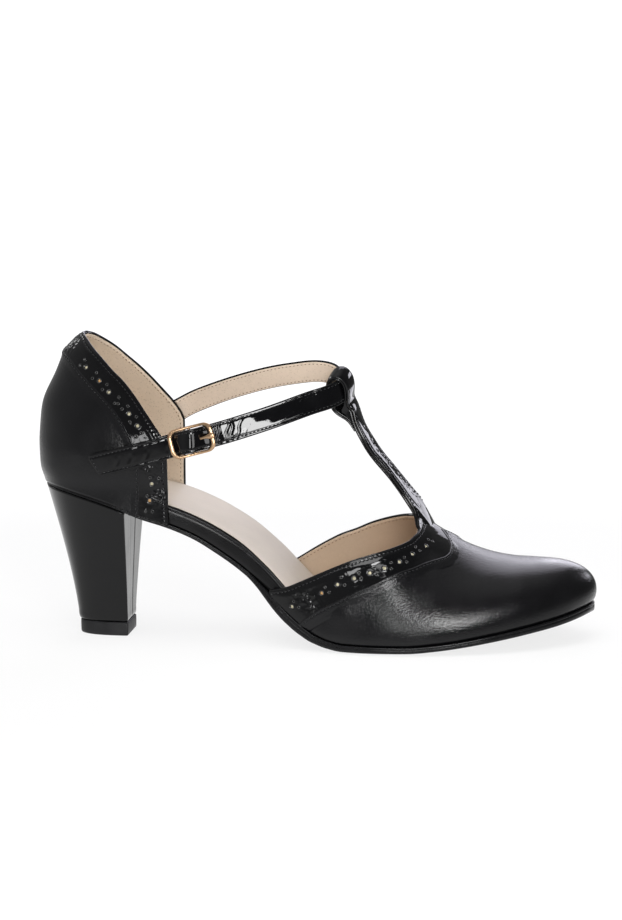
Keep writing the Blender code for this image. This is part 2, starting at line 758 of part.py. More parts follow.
# ---------------------------------------------------------------- vamp
def build_vamp():
    low, high = 9, 3
    wing = np.concatenate([np.linspace(VAMP_BACK, 160.0, 10), [163.6, 166.0, THROAT - 0.4]])
    full = np.linspace(THROAT + 0.6, POLE_X, 8)
    toe = np.linspace(-90, 90, 15)[1:-1]
    cols = [("wing", -1, x) for x in wing] + [("full", -1, x) for x in full] + [("toe", 0, a) for a in toe]
    cols += [("full", 1, x) for x in full[::-1]] + [("wing", 1, x) for x in wing[::-1]]
    pts, grid, ridge = [], [], {}

    def add(p):
        pts.append(p)
        return len(pts) - 1

    for kind, side, v in cols:
        col = column(side, x=v) if kind != "toe" else column(0, ang=v)
        if kind == "wing":
            edge = th_at_height(col, float((F_TOP_OUTER if side < 0 else F_TOP_INNER)(v)))
        else:
            edge = th_at_reach(col, 8.0)
        ids = [add(section(*col, edge * k / low)) for k in range(low + 1)]
        if kind != "wing":
            ids += [add(section(*col, edge + (math.pi / 2 - edge) * k / high)) for k in range(1, high)]
            key = "pole" if kind == "toe" or v == POLE_X else round(v, 3)
            if key not in ridge:
                ridge[key] = add(np.array(col[1]))
            ids.append(ridge[key])
        grid.append(ids)
    faces = []
    for a, b in zip(grid[:-1], grid[1:]):
        for k in range(min(len(a), len(b)) - 1):
            face = [a[k], b[k], b[k + 1], a[k + 1]]
            faces.append(tuple(dict.fromkeys(face)))
    return shell(solid("vamp", pts, faces, BLACK_CALF), WALL)


build_vamp()


# ---------------------------------------------------------------- quarter
def build_quarter():
    plan = quarter_plan(41)
    rows = 12
    pts, faces = [], []
    for p in plan:
        z0, z1 = float(feather(p[0], p[1])), quarter_top(p)
        for k in range(rows + 1):
            pts.append(quarter_at(p, z0 + (z1 - z0) * k / rows))
    m = rows + 1
    for i in range(len(plan) - 1):
        for k in range(rows):
            faces.append((i * m + k, i * m + k + 1, (i + 1) * m + k + 1, (i + 1) * m + k))
    return shell(solid("quarter", pts, faces, BLACK_CALF), WALL)


build_quarter()


# ---------------------------------------------------------------- heel and its top piece
HEEL_INSET = 0.35     # the heel's seat inside the plan of the upper


def heel_ring(count=33):
    """Plan of the heel's seat from the outer front corner round the back to the inner front corner."""
    out, inn, x0, _ = sides(grown(PLAN_LINE, np.full(len(PLAN_LINE), -HEEL_INSET)))
    a = np.linspace(0, 1, count // 2 + 1)
    xs = HEEL_FRONT - (HEEL_FRONT - x0) * np.sin(a * math.pi / 2)
    outer = [(x, float(out(x))) for x in xs[:-1]]
    inner = [(x, float(inn(x))) for x in xs[:-1]][::-1]
    return np.array(outer + [(x0, 0.0)] + inner)


HEEL_FOOT = {"front": 38.9, "back": 15.5, "half": 10.6}     # plan of the heel at its foot
TOP_PIECE_BACK = 16.2                                       # the top piece ends a little before it
HEEL_CURVE = 1.3                                            # how the heel narrows from seat to floor


def foot_ring(seat, grow=0.0, rear=HEEL_FOOT["back"]):
    back = seat[:, 0].min()
    u = (HEEL_FRONT - seat[:, 0]) / (HEEL_FRONT - back)
    v = seat[:, 1] / np.abs(seat[:, 1]).max()
    x = HEEL_FOOT["front"] + grow - (HEEL_FOOT["front"] - rear + 2 * grow) * u
    return np.stack([x, (HEEL_FOOT["half"] + grow) * v], 1)


def loft(name, rings, mat):
    """Closed loft between rings of the same count, whose first and last points share the flat front face."""
    n = len(rings[0])
    pts = [p for ring in rings for p in ring]
    faces = []
    for r in range(len(rings) - 1):
        for i in range(n):
            j = (i + 1) % n
            faces.append((r * n + i, r * n + j, (r + 1) * n + j, (r + 1) * n + i))
    for r in (0, len(rings) - 1):
        for i in range(n // 2):
            a, b, c, d = i, i + 1, n - 2 - i, n - 1 - i
            faces.append(tuple(dict.fromkeys(r * n + q for q in (a, b, c, d))))
    return facing_out(solid(name, pts, faces, mat))


seat = heel_ring()
foot = foot_ring(seat)
seat_z = np.array([float(sole_bottom(x, y)) - FIT for x, y in seat])
heel_rings = []
for s in np.linspace(0, 1, 11):
    g = s**HEEL_CURVE
    xy = foot + (seat - foot) * g
    z = (TOP_PIECE_TALL + FIT) + (seat_z - TOP_PIECE_TALL - FIT) * s
    heel_rings.append(np.column_stack([xy, z]))
loft("heel", heel_rings, HEEL_COVER)
top_rings = []
for z, grow in ((0.0, -0.5), (0.5, 0.0), (TOP_PIECE_TALL, 0.1)):
    ring = foot_ring(seat, grow, TOP_PIECE_BACK)
    top_rings.append(np.column_stack([ring, np.full(len(ring), z)]))
loft("heel_top_piece", top_rings, TOP_RUBBER)

# ---------------------------------------------------------------- straps
line, tan, nor, wid, wides, thicks, bends = tbar_line()
sweep("t_bar", line, nor, wid, wides, thicks, BLACK_PATENT, crown=0.25, bend=bends)
line, tan, nor, wid = ankle_line()
strap = sweep("ankle_strap", line, nor, wid, STRAP_WIDE, STRAP_THICK, BLACK_PATENT)

# ---------------------------------------------------------------- buckle
along_dir, wide_dir, out_dir = buckle_frame_axes()
loop = buckle_loop()
loop_line = np.array([buckle_point(u, w, BUCKLE_ARCH * (u / BUCKLE_HALF_LONG) ** 2) for u, w in loop])
ends = np.clip((np.abs(loop[:, 0]) - 6.0) / 2.5, 0, 1)
loop_shape = [(0.66 + 0.36 * e, 0.74) for e in ends]
buckle = tube("buckle_frame", loop_line, 0.8, GOLD, sides_count=8, up=out_dir, closed=True, shape=loop_shape)
bar = tube("centre_bar", [buckle_point(0, w, 0) for w in np.linspace(-BUCKLE_HALF_WIDE, BUCKLE_HALF_WIDE, 5)], BAR_ROUND, None, sides_count=12, helper=True, up=out_dir)
cut(buckle, bar, "UNION")

prong_rows = table(PRONG)
pa = spline(np.arange(len(prong_rows["along"])), prong_rows["along"])
pn = spline(np.arange(len(prong_rows["along"])), prong_rows["out"])
steps = np.linspace(0, len(prong_rows["along"]) - 1, 14)
prong_line = [buckle_point(float(pa(s)), 0, float(pn(s))) for s in steps]
prong = tube("buckle_prong", prong_line, PRONG_ROUND, GOLD, sides_count=10, up=wide_dir)
eye = tube("prong_eye", [buckle_point(1.4 * math.cos(a), 0, 1.4 * math.sin(a)) for a in np.linspace(0, 2 * math.pi, 17)[:-1]], 0.45, None, sides_count=8, helper=True, up=wide_dir, closed=True)
cut(prong, eye, "UNION")
slot = tube("prong_slot", prong_line, PRONG_ROUND + 0.38, None, sides_count=12, helper=True, up=wide_dir)
cut(strap, slot)


def build_tab():
    """The tab: flat on the quarter, forward under the strap, rolled round the centre bar."""
    pts, ups = [], []
    for x in TAB_SEWN:
        z = 85.7 - (57.0 - x) * 0.255
        pts.append(np.array([x, quarter_side(x, z, -1) - FIT - TAB_THICK / 2 - 0.15, z]))
    for u, n in ((-8.6, -2.45), (-5.0, -2.0), (-2.4, -1.48)):
        pts.append(buckle_point(u, 0, n))
    for a in np.linspace(-90, 110, 9):
        pts.append(buckle_point(TAB_EYE * math.cos(math.radians(a)), 0, TAB_EYE * math.sin(math.radians(a))))
    pts.append(buckle_point(-1.7, 0, 0.75))
    pts = np.array(pts)
    s = np.concatenate([[0], np.cumsum(np.linalg.norm(np.diff(pts, axis=0), axis=1))])
    u = np.unique(np.concatenate([np.linspace(0, s[5], 12), np.linspace(s[5], s[-1], 14)]))
    line = np.stack([spline(s, pts[:, i])(u) for i in range(3)], 1)
    t, n, w = frames(line, np.tile(wide_dir, (len(line), 1)))
    return sweep("buckle_tab", line, n, w, TAB_WIDE, TAB_THICK, BLACK_PATENT)


tab = build_tab()
hole = [buckle_point(u, w, n) for n in (-3.2, 3.2) for u, w in ((-3.2, -1.5), (3.2, -1.5), (3.2, 1.5), (-3.2, 1.5))]
hole = solid("tab_slot", hole, [(0, 3, 2, 1), (4, 5, 6, 7), (0, 1, 5, 4), (1, 2, 6, 5), (2, 3, 7, 6), (3, 0, 4, 7)], None, helper=True)
facing_out(hole)
cut(tab, hole)
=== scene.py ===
"""Looks of the strap pump: leather, patent trim with perforations, linings, stitches, buckle, heel and sole.
Tables and helper shapes are in millimetres, in the same design frame as the solids: x from the heel back,
the outer side of the foot at -y, heights from the floor."""

import bmesh
import bpy
from mathutils import Matrix, Vector


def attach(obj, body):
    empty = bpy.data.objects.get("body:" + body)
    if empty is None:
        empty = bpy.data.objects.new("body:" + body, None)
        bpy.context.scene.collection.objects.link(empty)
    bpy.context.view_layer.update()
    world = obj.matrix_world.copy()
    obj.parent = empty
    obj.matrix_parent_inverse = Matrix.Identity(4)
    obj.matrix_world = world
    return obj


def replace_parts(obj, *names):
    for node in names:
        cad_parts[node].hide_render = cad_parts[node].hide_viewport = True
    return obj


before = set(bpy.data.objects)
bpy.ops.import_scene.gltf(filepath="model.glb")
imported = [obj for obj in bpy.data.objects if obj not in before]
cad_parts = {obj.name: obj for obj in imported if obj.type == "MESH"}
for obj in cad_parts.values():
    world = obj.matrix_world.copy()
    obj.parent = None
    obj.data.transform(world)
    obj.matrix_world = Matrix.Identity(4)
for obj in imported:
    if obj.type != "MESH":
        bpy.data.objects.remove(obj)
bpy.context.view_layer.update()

import math

import numpy as np

# ---------------------------------------------------------------- driving sizes, in millimetres
WALL = 2.0            # leather and lining of vamp and quarter
FIT = 0.3             # space left between pieces that meet
SOLE_FORE = 3.5       # outsole under the forefoot
SOLE_WAIST = 1.5      # outsole at the waist
SOLE_SEAT = 1.1       # outsole skived under the heel seat
STRAP_WIDE = 10.2
STRAP_THICK = 1.9
TBAR_WIDE = 10.6
TBAR_THICK = 2.6
TOP_PIECE_TALL = 6.0
HEEL_FRONT = 41.0     # where the heel's front face meets the sole
QUARTER_FRONT = 60.2  # front edge of the quarter
VAMP_BACK = 105.0     # rear end of the vamp's wings
THROAT = 168.0        # vamp edge under the T-bar
POLE_X = 214.0        # middle of the round toe
ORIGIN = (121.457, -1.775, 0.0)   # middle of the shoe's box on the floor


def table(text):
    """Named columns from a short table."""
    rows = [line.split() for line in text.strip().splitlines()]
    return {name: np.array([float(row[i]) for row in rows[1:]]) for i, name in enumerate(rows[0])}


def spline(xs, ys):
    """Cubic through the rows of a table with even curvature, straight beyond its ends."""
    xs, ys = np.asarray(xs, float), np.asarray(ys, float)
    n = len(xs)
    h = np.diff(xs)
    a = np.zeros((n, n))
    b = np.zeros(n)
    a[0, 0] = a[-1, -1] = 1.0
    for i in range(1, n - 1):
        a[i, i - 1], a[i, i], a[i, i + 1] = h[i - 1], 2 * (h[i - 1] + h[i]), h[i]
        b[i] = 6 * ((ys[i + 1] - ys[i]) / h[i] - (ys[i] - ys[i - 1]) / h[i - 1])
    m = np.linalg.solve(a, b)
    first = (ys[1] - ys[0]) / h[0] - h[0] * (2 * m[0] + m[1]) / 6
    last = (ys[-1] - ys[-2]) / h[-1] + h[-1] * (m[-2] + 2 * m[-1]) / 6

    def f(x):
        x = np.asarray(x, float)
        c = np.clip(x, xs[0], xs[-1])
        i = np.clip(np.searchsorted(xs, c) - 1, 0, n - 2)
        u, v = xs[i + 1] - c, c - xs[i]
        y = (m[i] * u**3 + m[i + 1] * v**3) / (6 * h[i]) + (ys[i] / h[i] - m[i] * h[i] / 6) * u + (ys[i + 1] / h[i] - m[i + 1] * h[i] / 6) * v
        return y + first * np.minimum(x - xs[0], 0) + last * np.maximum(x - xs[-1], 0)

    return f


def steady(xs, ys):
    """Cubic through the rows of a table that never overshoots them, level beyond its ends."""
    xs, ys = np.asarray(xs, float), np.asarray(ys, float)
    h, d = np.diff(xs), np.diff(ys) / np.diff(xs)
    m = np.zeros(len(xs))
    for i in range(1, len(xs) - 1):
        if d[i - 1] * d[i] > 0:
            w1, w2 = 2 * h[i] + h[i - 1], h[i] + 2 * h[i - 1]
            m[i] = (w1 + w2) / (w1 / d[i - 1] + w2 / d[i])
    m[0], m[-1] = d[0], d[-1]

    def f(x):
        c = np.clip(np.asarray(x, float), xs[0], xs[-1])
        i = np.clip(np.searchsorted(xs, c) - 1, 0, len(h) - 1)
        t = (c - xs[i]) / h[i]
        return (
            ys[i] * (1 + 2 * t) * (1 - t) ** 2
            + ys[i + 1] * t * t * (3 - 2 * t)
            + h[i] * (m[i] * t * (1 - t) ** 2 - m[i + 1] * t * t * (1 - t))
        )

    return f


# ---------------------------------------------------------------- plan of the upper at the feather line
# x from the back of the heel, outer and inner side of the foot (a right shoe: outer side -y)
HEEL_BACK = (2.0, 0.0)
TOE_TIP = (242.4, 3.6)
PLAN = table("""
x      outer   inner
5.3    -12.6    12.6
14.0   -21.9    21.7
28.0   -27.0    26.6
45.0   -28.2    26.6
62.0   -27.2    23.4
80.0   -26.6    20.2
98.0   -28.8    19.8
116.0  -33.8    23.2
134.0  -39.0    30.0
152.0  -42.2    36.2
168.0  -42.6    39.0
184.0  -40.4    38.8
200.0  -35.9    36.6
215.0  -29.0    32.4
228.0  -20.0    25.6
237.2  -9.4     17.0
""")


def plan_points(count=1440):
    """The plan as a dense closed line, from the heel back along the outer side to the toe and back."""
    pts = [HEEL_BACK] + list(zip(PLAN["x"], PLAN["outer"])) + [TOE_TIP] + list(zip(PLAN["x"][::-1], PLAN["inner"][::-1]))
    pts = np.array(pts)
    n = len(pts)
    around = np.concatenate([pts[-3:], pts, pts[:4]])
    s = np.concatenate([[0], np.cumsum(np.hypot(*np.diff(around, axis=0).T))])
    fx, fy = spline(s, around[:, 0]), spline(s, around[:, 1])
    t = np.linspace(s[3], s[3 + n], count, endpoint=False)
    return np.stack([fx(t), fy(t)], 1)


PLAN_LINE = plan_points()


def grown(line, by):
    """The closed line moved outwards by an amount that may change along it."""
    d = np.roll(line, -1, 0) - np.roll(line, 1, 0)
    d /= np.linalg.norm(d, axis=1)[:, None]
    return line + np.stack([d[:, 1], -d[:, 0]], 1) * np.asarray(by).reshape(-1, 1)


def sides(line):
    """Functions outer(x) and inner(x) of a closed line, with its two ends in x."""
    i0, i1 = int(np.argmin(line[:, 0])), int(np.argmax(line[:, 0]))
    ring = np.roll(line, -i0, 0)
    k = (i1 - i0) % len(line)
    a, b = ring[: k + 1], np.concatenate([ring[k:], ring[:1]])[::-1]
    if a[len(a) // 2, 1] > b[len(b) // 2, 1]:
        a, b = b, a
    a, b = a[np.argsort(a[:, 0])], b[np.argsort(b[:, 0])]
    return (lambda x: np.interp(x, a[:, 0], a[:, 1])), (lambda x: np.interp(x, b[:, 0], b[:, 1])), line[i0, 0], line[i1, 0]


OUTER, INNER, PLAN_X0, PLAN_X1 = sides(PLAN_LINE)

# ---------------------------------------------------------------- profile of the sole, heights above the floor
# feather = top of the outsole on the outer side, arch = how much higher on the inner side
PROFILE = table("""
x      feather  arch  insole
0.0    68.8     0.0   4.6
10.0   67.9     0.0   4.8
23.0   65.2     0.0   5.4
35.0   61.7     0.2   6.2
47.0   57.2     0.6   7.2
60.0   52.9     1.6   8.0
71.0   48.2     2.5   8.3
82.0   41.6     3.1   9.3
93.5   33.7     3.2   9.8
104.0  24.6     2.9   9.8
113.0  16.1     2.1   9.0
119.0  11.2     1.2   8.0
125.0  7.4      0.8   6.6
131.0  5.2      0.4   5.4
138.0  4.0      0.1   4.6
150.0  3.8      0.0   4.2
165.0  3.9      0.0   4.0
179.0  5.0      0.0   3.8
189.0  6.3      0.0   3.7
199.0  7.9      0.0   3.6
209.0  9.6      0.0   3.5
219.0  11.4     0.0   3.4
229.0  13.4     0.0   3.3
238.0  15.4     0.0   3.2
244.0  16.9     0.0   3.2
""")
F_FEATHER = steady(PROFILE["x"], PROFILE["feather"])
F_ARCH = steady(PROFILE["x"], PROFILE["arch"])
F_INSOLE = steady(PROFILE["x"], PROFILE["insole"])

# outsole: edge = how far it stands out from the upper, thick = at right angles to its slope, crown = rise of its edges
SOLE = table("""
x      edge   thick  crown
0.0    -0.9   1.1    0.0
40.0   -0.9   1.3    0.0
50.0   -1.6   1.9    0.2
62.0   -2.0   2.1    0.4
94.0   -1.8   2.2    0.4
100.0  -1.0   2.7    0.3
106.0  0.4    3.6    0.2
114.0  1.0    3.9    0.4
128.0  1.1    3.8    0.9
166.0  1.2    3.5    1.1
186.0  1.2    3.6    1.2
215.0  1.1    3.8    1.1
232.0  0.7    3.8    0.7
244.0  0.3    3.6    0.6
""")
F_EDGE = steady(SOLE["x"], SOLE["edge"])
F_THICK = steady(SOLE["x"], SOLE["thick"])
F_CROWN = steady(SOLE["x"], SOLE["crown"])


def across(x, y):
    """0 on the outer side, 1 on the inner side of the plan."""
    a, b = OUTER(x), INNER(x)
    return np.clip((y - a) / np.maximum(b - a, 1e-6), -0.1, 1.1)


def feather(x, y):
    return F_FEATHER(x) + F_ARCH(x) * across(x, y)


def sole_top(x, y):
    return feather(x, y) - FIT


def sole_bottom(x, y):
    """The outsole's underside, level on the floor under the ball."""
    slope = (F_FEATHER(x + 0.5) - F_FEATHER(x - 0.5))
    low = sole_top(x, y) - F_THICK(x) * np.sqrt(1 + slope * slope)
    mid = 0.5 * (OUTER(x) + INNER(x))
    half = np.maximum(0.5 * (INNER(x) - OUTER(x)), 4.0)
    low = low + F_CROWN(x) * ((y - mid) / half) ** 2
    return np.where(x > 100, np.maximum(low - 0.25, 0.0), low)


def insole_top(x, y):
    return feather(x, y) + F_INSOLE(x)


# ---------------------------------------------------------------- forepart of the last
# ridge = height of the instep line, off = its place across, full = squareness of the section
FORE = table("""
x      ridge  off   full
100.0  122.0  2.0   1.90
110.0  118.0  2.0   1.88
120.0  112.0  2.0   1.86
130.0  104.0  2.0   1.84
138.0  95.4   2.0   1.82
142.5  88.2   2.0   1.82
147.0  81.2   2.0   1.82
151.5  75.4   2.0   1.82
156.0  70.0   2.1   1.82
160.0  64.0   2.2   1.83
164.0  58.2   2.4   1.84
168.0  53.2   2.5   1.86
172.5  49.4   2.6   1.88
178.0  45.9   2.7   1.92
183.0  43.0   2.7   1.97
188.0  40.6   2.6   2.03
193.0  38.6   2.5   2.09
198.0  37.1   2.4   2.16
204.0  35.9   2.2   2.24
209.0  35.2   2.1   2.32
214.0  35.0   2.0   2.40
""")
F_RIDGE = steady(FORE["x"], FORE["ridge"])
F_OFF = spline(FORE["x"], FORE["off"])
F_FULL = spline(FORE["x"], FORE["full"])
POLE = (POLE_X, float(F_OFF(POLE_X)), float(F_RIDGE(POLE_X)))
TOE_FULL = 3.0        # squareness of the section at the toe tip
TOE_BULGE = 0.9       # how far the wall swells above the feather line
TIP_BULGE = 0.9       # how much more it swells at the toe tip

# upper edge of the vamp on each side
TOPLINE = table("""
x      outer  inner
103.0  24.8   26.6
108.0  25.9   28.8
113.0  27.2   31.6
118.0  29.4   34.4
123.0  31.7   36.9
129.0  34.5   39.6
135.4  37.3   41.6
142.0  39.9   44.2
148.0  41.7   46.0
154.0  43.3   47.4
159.0  44.6   48.3
163.0  45.7   49.0
165.5  46.7   49.9
167.5  48.6   51.6
""")
F_TOP_OUTER = steady(TOPLINE["x"], TOPLINE["outer"])
F_TOP_INNER = steady(TOPLINE["x"], TOPLINE["inner"])


def toe_reach():
    """Distance from the pole to the plan for an angle: -90 deg outer side, 0 toe, 90 inner side."""
    d = PLAN_LINE - np.array(POLE[:2])
    ang = np.degrees(np.arctan2(d[:, 1], d[:, 0]))
    keep = np.abs(ang) < 115
    ang, reach = ang[keep], np.hypot(d[keep, 0], d[keep, 1])
    order = np.argsort(ang)
    return ang[order], reach[order]


TOE_ANG, TOE_REACH = toe_reach()


def section(foot, top, full, th):
    """A point of the wall between its foot on the feather line and its top, th from 0 to pi/2."""
    foot, top = np.asarray(foot, float), np.asarray(top, float)
    c, s = np.maximum(np.cos(th), 0.0) ** (2 / full), np.maximum(np.sin(th), 0.0) ** (2 / full)
    flat = foot[:2] - top[:2]
    reach = np.linalg.norm(flat)
    z = foot[2] + (top[2] - foot[2]) * s
    tip = min(max((full - 2.4) / (TOE_FULL - 2.4), 0.0), 1.0)
    swell = (TOE_BULGE + TIP_BULGE * tip) * (1 - np.exp(-(z - foot[2]) / 3.0))
    xy = top[:2] + flat * c * (1 + swell / reach)
    return np.array([xy[0], xy[1], z])


def column(side, x=None, ang=None):
    """Foot, top and squareness of one wall section: across the shoe at x, or radial at the toe."""
    if ang is None:
        y = float(OUTER(x) if side < 0 else INNER(x))
        return (x, y, float(feather(x, y))), (x, float(F_OFF(x)), float(F_RIDGE(x))), float(F_FULL(x))
    r = float(np.interp(ang, TOE_ANG, TOE_REACH))
    px, py = POLE[0] + r * math.cos(math.radians(ang)), POLE[1] + r * math.sin(math.radians(ang))
    full = float(F_FULL(POLE_X)) + (TOE_FULL - float(F_FULL(POLE_X))) * math.cos(math.radians(ang)) ** 2
    return (px, py, float(feather(px, py))), POLE, full


def th_at_height(col, z):
    foot, top, full = col
    f = min(max((z - foot[2]) / (top[2] - foot[2]), 0.0), 1.0)
    return math.asin(min(f ** (full / 2), 1.0))


def th_at_reach(col, away):
    foot, top, full = col
    reach = math.hypot(foot[0] - top[0], foot[1] - top[1])
    return math.acos(min((away / reach) ** (full / 2), 1.0))


# ---------------------------------------------------------------- heel part of the upper
# each ring of the quarter: back = x of its rearmost point, wide = width against the plan
RING = table("""
z      back   wide
48.0   1.6    1.000
62.0   1.7    1.000
68.8   1.6    1.005
73.0   0.2    1.020
79.0   -0.5   1.035
86.0   -0.6   1.035
93.0   -0.2   1.005
99.0   0.3    0.955
104.0  1.3    0.900
110.0  3.9    0.825
115.5  6.7    0.755
121.5  9.2    0.675
126.0  11.4   0.605
129.5  14.7   0.535
133.2  19.2   0.440
""")
F_BACK = spline(RING["z"], RING["back"])
F_WIDE = spline(RING["z"], RING["wide"])
COLLAR = table("""
x      outer  inner
20.0   133.0  133.0
22.5   131.2  131.6
25.0   128.8  129.6
30.4   123.8  125.2
35.4   118.9  120.4
40.3   114.6  115.8
45.1   109.2  110.8
50.0   102.6  105.2
54.8   95.8   99.6
57.6   91.6   95.6
59.4   87.4   91.4
60.2   83.4   87.0
""")
F_COLLAR_OUTER = steady(COLLAR["x"], COLLAR["outer"])
F_COLLAR_INNER = steady(COLLAR["x"], COLLAR["inner"])


def quarter_plan(count):
    """Plan points of the quarter, from its outer front edge round the back to its inner front edge."""
    keep = PLAN_LINE[:, 0] <= QUARTER_FRONT + 3
    ring = np.roll(PLAN_LINE, len(PLAN_LINE) // 2, 0)
    keep = np.roll(keep, len(PLAN_LINE) // 2)
    line = ring[keep]
    if line[0, 1] > 0:
        line = line[::-1]
    a = np.argmin(np.where(line[:, 1] < 0, np.abs(line[:, 0] - QUARTER_FRONT), 1e9))
    b = np.argmin(np.where(line[:, 1] > 0, np.abs(line[:, 0] - (QUARTER_FRONT - 1.0)), 1e9))
    line = line[a : b + 1]
    s = np.concatenate([[0], np.cumsum(np.hypot(*np.diff(line, axis=0).T))])
    t = np.linspace(0, s[-1], count)
    return np.stack([np.interp(t, s, line[:, 0]), np.interp(t, s, line[:, 1])], 1)


def quarter_at(p, z):
    """The quarter's outer face above plan point p at height z."""
    back = float(F_BACK(z))
    x = QUARTER_FRONT - (QUARTER_FRONT - p[0]) * (QUARTER_FRONT - back) / (QUARTER_FRONT - HEEL_BACK[0])
    return np.array([x, p[1] * float(F_WIDE(z)), z])


def quarter_top(p):
    f = F_COLLAR_OUTER if p[1] < 0 else F_COLLAR_INNER
    lo, hi = 60.0, 134.0
    for _ in range(40):
        mid = 0.5 * (lo + hi)
        if mid < float(f(quarter_at(p, mid)[0])):
            lo = mid
        else:
            hi = mid
    return lo


def quarter_side(x, z, side):
    """y of the quarter's outer face at x and z."""
    back = float(F_BACK(z))
    px = QUARTER_FRONT - (QUARTER_FRONT - x) * (QUARTER_FRONT - HEEL_BACK[0]) / (QUARTER_FRONT - back)
    return float(OUTER(px) if side < 0 else INNER(px)) * float(F_WIDE(z))


# ---------------------------------------------------------------- straps
def frames(line, up):
    """Tangent, outward normal and width direction along a line, the width as near to up as it can be."""
    t = np.gradient(line, axis=0)
    t /= np.linalg.norm(t, axis=1)[:, None]
    w = up - t * np.sum(up * t, 1)[:, None]
    w /= np.linalg.norm(w, axis=1)[:, None]
    n = np.cross(t, w)
    return t, n, w


# centre of the ankle strap, from its seam on the inner side of the quarter to the tip of its tail;
# lean = how far its upper edge tips inwards, in degrees; off = distance from the quarter's face where it lies on it
ANKLE = """
x      y      z      lean  off
41.0   0      86.6   4     1.5
48.0   0      90.4   8     1.5
55.0   0      94.2   12    1.6
62.0   26.6   98.0   15    0
70.0   24.9   101.6  17    0
80.0   22.6   105.4  18    0
91.0   19.8   109.0  18    0
102.0  16.6   112.0  17    0
113.0  13.0   114.2  16    0
122.0  10.4   115.2  14    0
129.4  7.4    113.9  11    0
132.7  2.6    111.7  8     0
133.6  -1.6   110.3  8     0
132.9  -5.8   108.9  8     0
129.6  -9.2   107.2  10    0
122.6  -12.5  105.1  13    0
114.0  -16.3  102.3  16    0
104.0  -20.3  99.0   16    0
94.0   -23.6  96.0   14    0
86.0   -25.9  93.7   12    0
80.2   -27.5  92.2   9     0
75.8   -29.6  91.2   8     0
71.6   -32.8  90.4   7     0
67.6   -31.4  89.3   6     0
62.8   -30.3  88.0   4     0
57.0   0      86.3   1     2.9
50.0   0      84.5   1     2.9
43.0   0      82.6   0     2.8
36.0   0      80.8   -1    2.3
31.0   0      79.4   -2    1.9
27.6   0      78.5   -3    1.7
"""
ANKLE_STEPS = 80


def ankle_line(count=ANKLE_STEPS):
    """Centre, tangent, outward normal and width direction along the ankle strap."""
    t = table(ANKLE)
    p = np.stack([t["x"], t["y"], t["z"]], 1)
    for i, off in enumerate(t["off"]):
        if off > 0:
            side = 1 if i < len(p) // 2 else -1
            p[i, 1] = quarter_side(p[i, 0], p[i, 2], side) + side * off
    s = np.concatenate([[0], np.cumsum(np.linalg.norm(np.diff(p, axis=0), axis=1))])
    u = np.linspace(0, s[-1], count)
    line = np.stack([spline(s, p[:, i])(u) for i in range(3)], 1)
    lean = np.radians(spline(s, t["lean"])(u))[:, None]
    tan, nor, wid = frames(line, np.tile([0.0, 0.0, 1.0], (count, 1)))
    # the strap runs round the foot with its outer face on the left of the way along it
    out = -nor if nor[count // 2, 0] < 0 else nor
    return line, tan, out * np.cos(lean) + wid * np.sin(lean), wid * np.cos(lean) - out * np.sin(lean)


# middle of the T-bar, from its sewn end on the vamp up to the ankle strap, over it and down behind it;
# tilt = how far its face turns to the outer side in degrees, bend = its curve across
TBAR = """
x      y     z      wide  thick  tilt   bend
176.8  1.8   47.85  14.0  1.0    2      0.022
173.4  1.6   50.4   12.8  1.6    3      0.021
170.3  1.2   53.3   11.8  2.2    5      0.018
164.9  0.4   59.5   10.9  2.5    9      0.016
160.6  0.2   65.3   10.6  2.6    9      0.018
156.6  0.0   70.6   10.6  2.6    9      0.014
152.1  -0.2  76.1   10.6  2.6    10     0.012
147.6  -0.4  81.7   10.6  2.6    11     0.010
143.3  -0.6  88.7   10.6  2.6    12     0.008
140.0  0.2   95.1   10.4  2.6    12     0.006
138.4  0.7   101.0  10.0  2.5    9      0.000
137.5  -0.6  106.6  9.6   2.3    3      0.000
136.7  -2.2  112.4  9.4   2.1    2      0.000
135.1  -3.4  116.9  9.4   2.0    0      0.000
132.5  -3.9  118.4  9.4   2.0    0      0.000
129.4  -3.3  116.6  9.0   2.0    0      0.000
128.9  -2.1  112.0  9.0   2.0    0      0.000
130.0  -0.6  106.6  9.0   2.0    0      0.000
132.2  0.3   101.8  9.2   1.8    -3     0.000
134.7  0.6   98.4   9.2   1.6    -9     0.000
136.8  0.4   95.2   9.0   1.4    -12    0.000
138.9  0.1   91.4   9.0   1.0    -13    0.000
"""
TBAR_STEPS = 48


def tbar_line(count=TBAR_STEPS):
    """Centre, tangent, outward normal, width direction, width, thickness and curve across along the T-bar."""
    t = table(TBAR)
    p = np.stack([t["x"], t["y"], t["z"]], 1)
    s = np.concatenate([[0], np.cumsum(np.linalg.norm(np.diff(p, axis=0), axis=1))])
    u = np.linspace(0, s[-1], count)
    line = np.stack([spline(s, p[:, i])(u) for i in range(3)], 1)
    tan, nor, wid = frames(line, np.tile([0.0, 1.0, 0.0], (count, 1)))
    tilt = np.radians(spline(s, t["tilt"])(u))[:, None]
    out = -nor
    return line, tan, out * np.cos(tilt) - wid * np.sin(tilt), wid * np.cos(tilt) + out * np.sin(tilt), spline(s, t["wide"])(u), spline(s, t["thick"])(u), spline(s, t["bend"])(u)


# ---------------------------------------------------------------- buckle, in its own directions
BAR_MIDDLE = np.array([71.6, -29.2, 90.1])    # middle of the centre bar
BUCKLE_HALF_LONG = 9.0                        # to the middle of the end bars
BUCKLE_HALF_WIDE = 6.05                       # to the middle of the side bars
BUCKLE_ARCH = 2.6                             # how far the end bars stand out from the centre bar
BUCKLE_CORNER = 3.3
BAR_ROUND = 0.6
PRONG_ROUND = 0.62


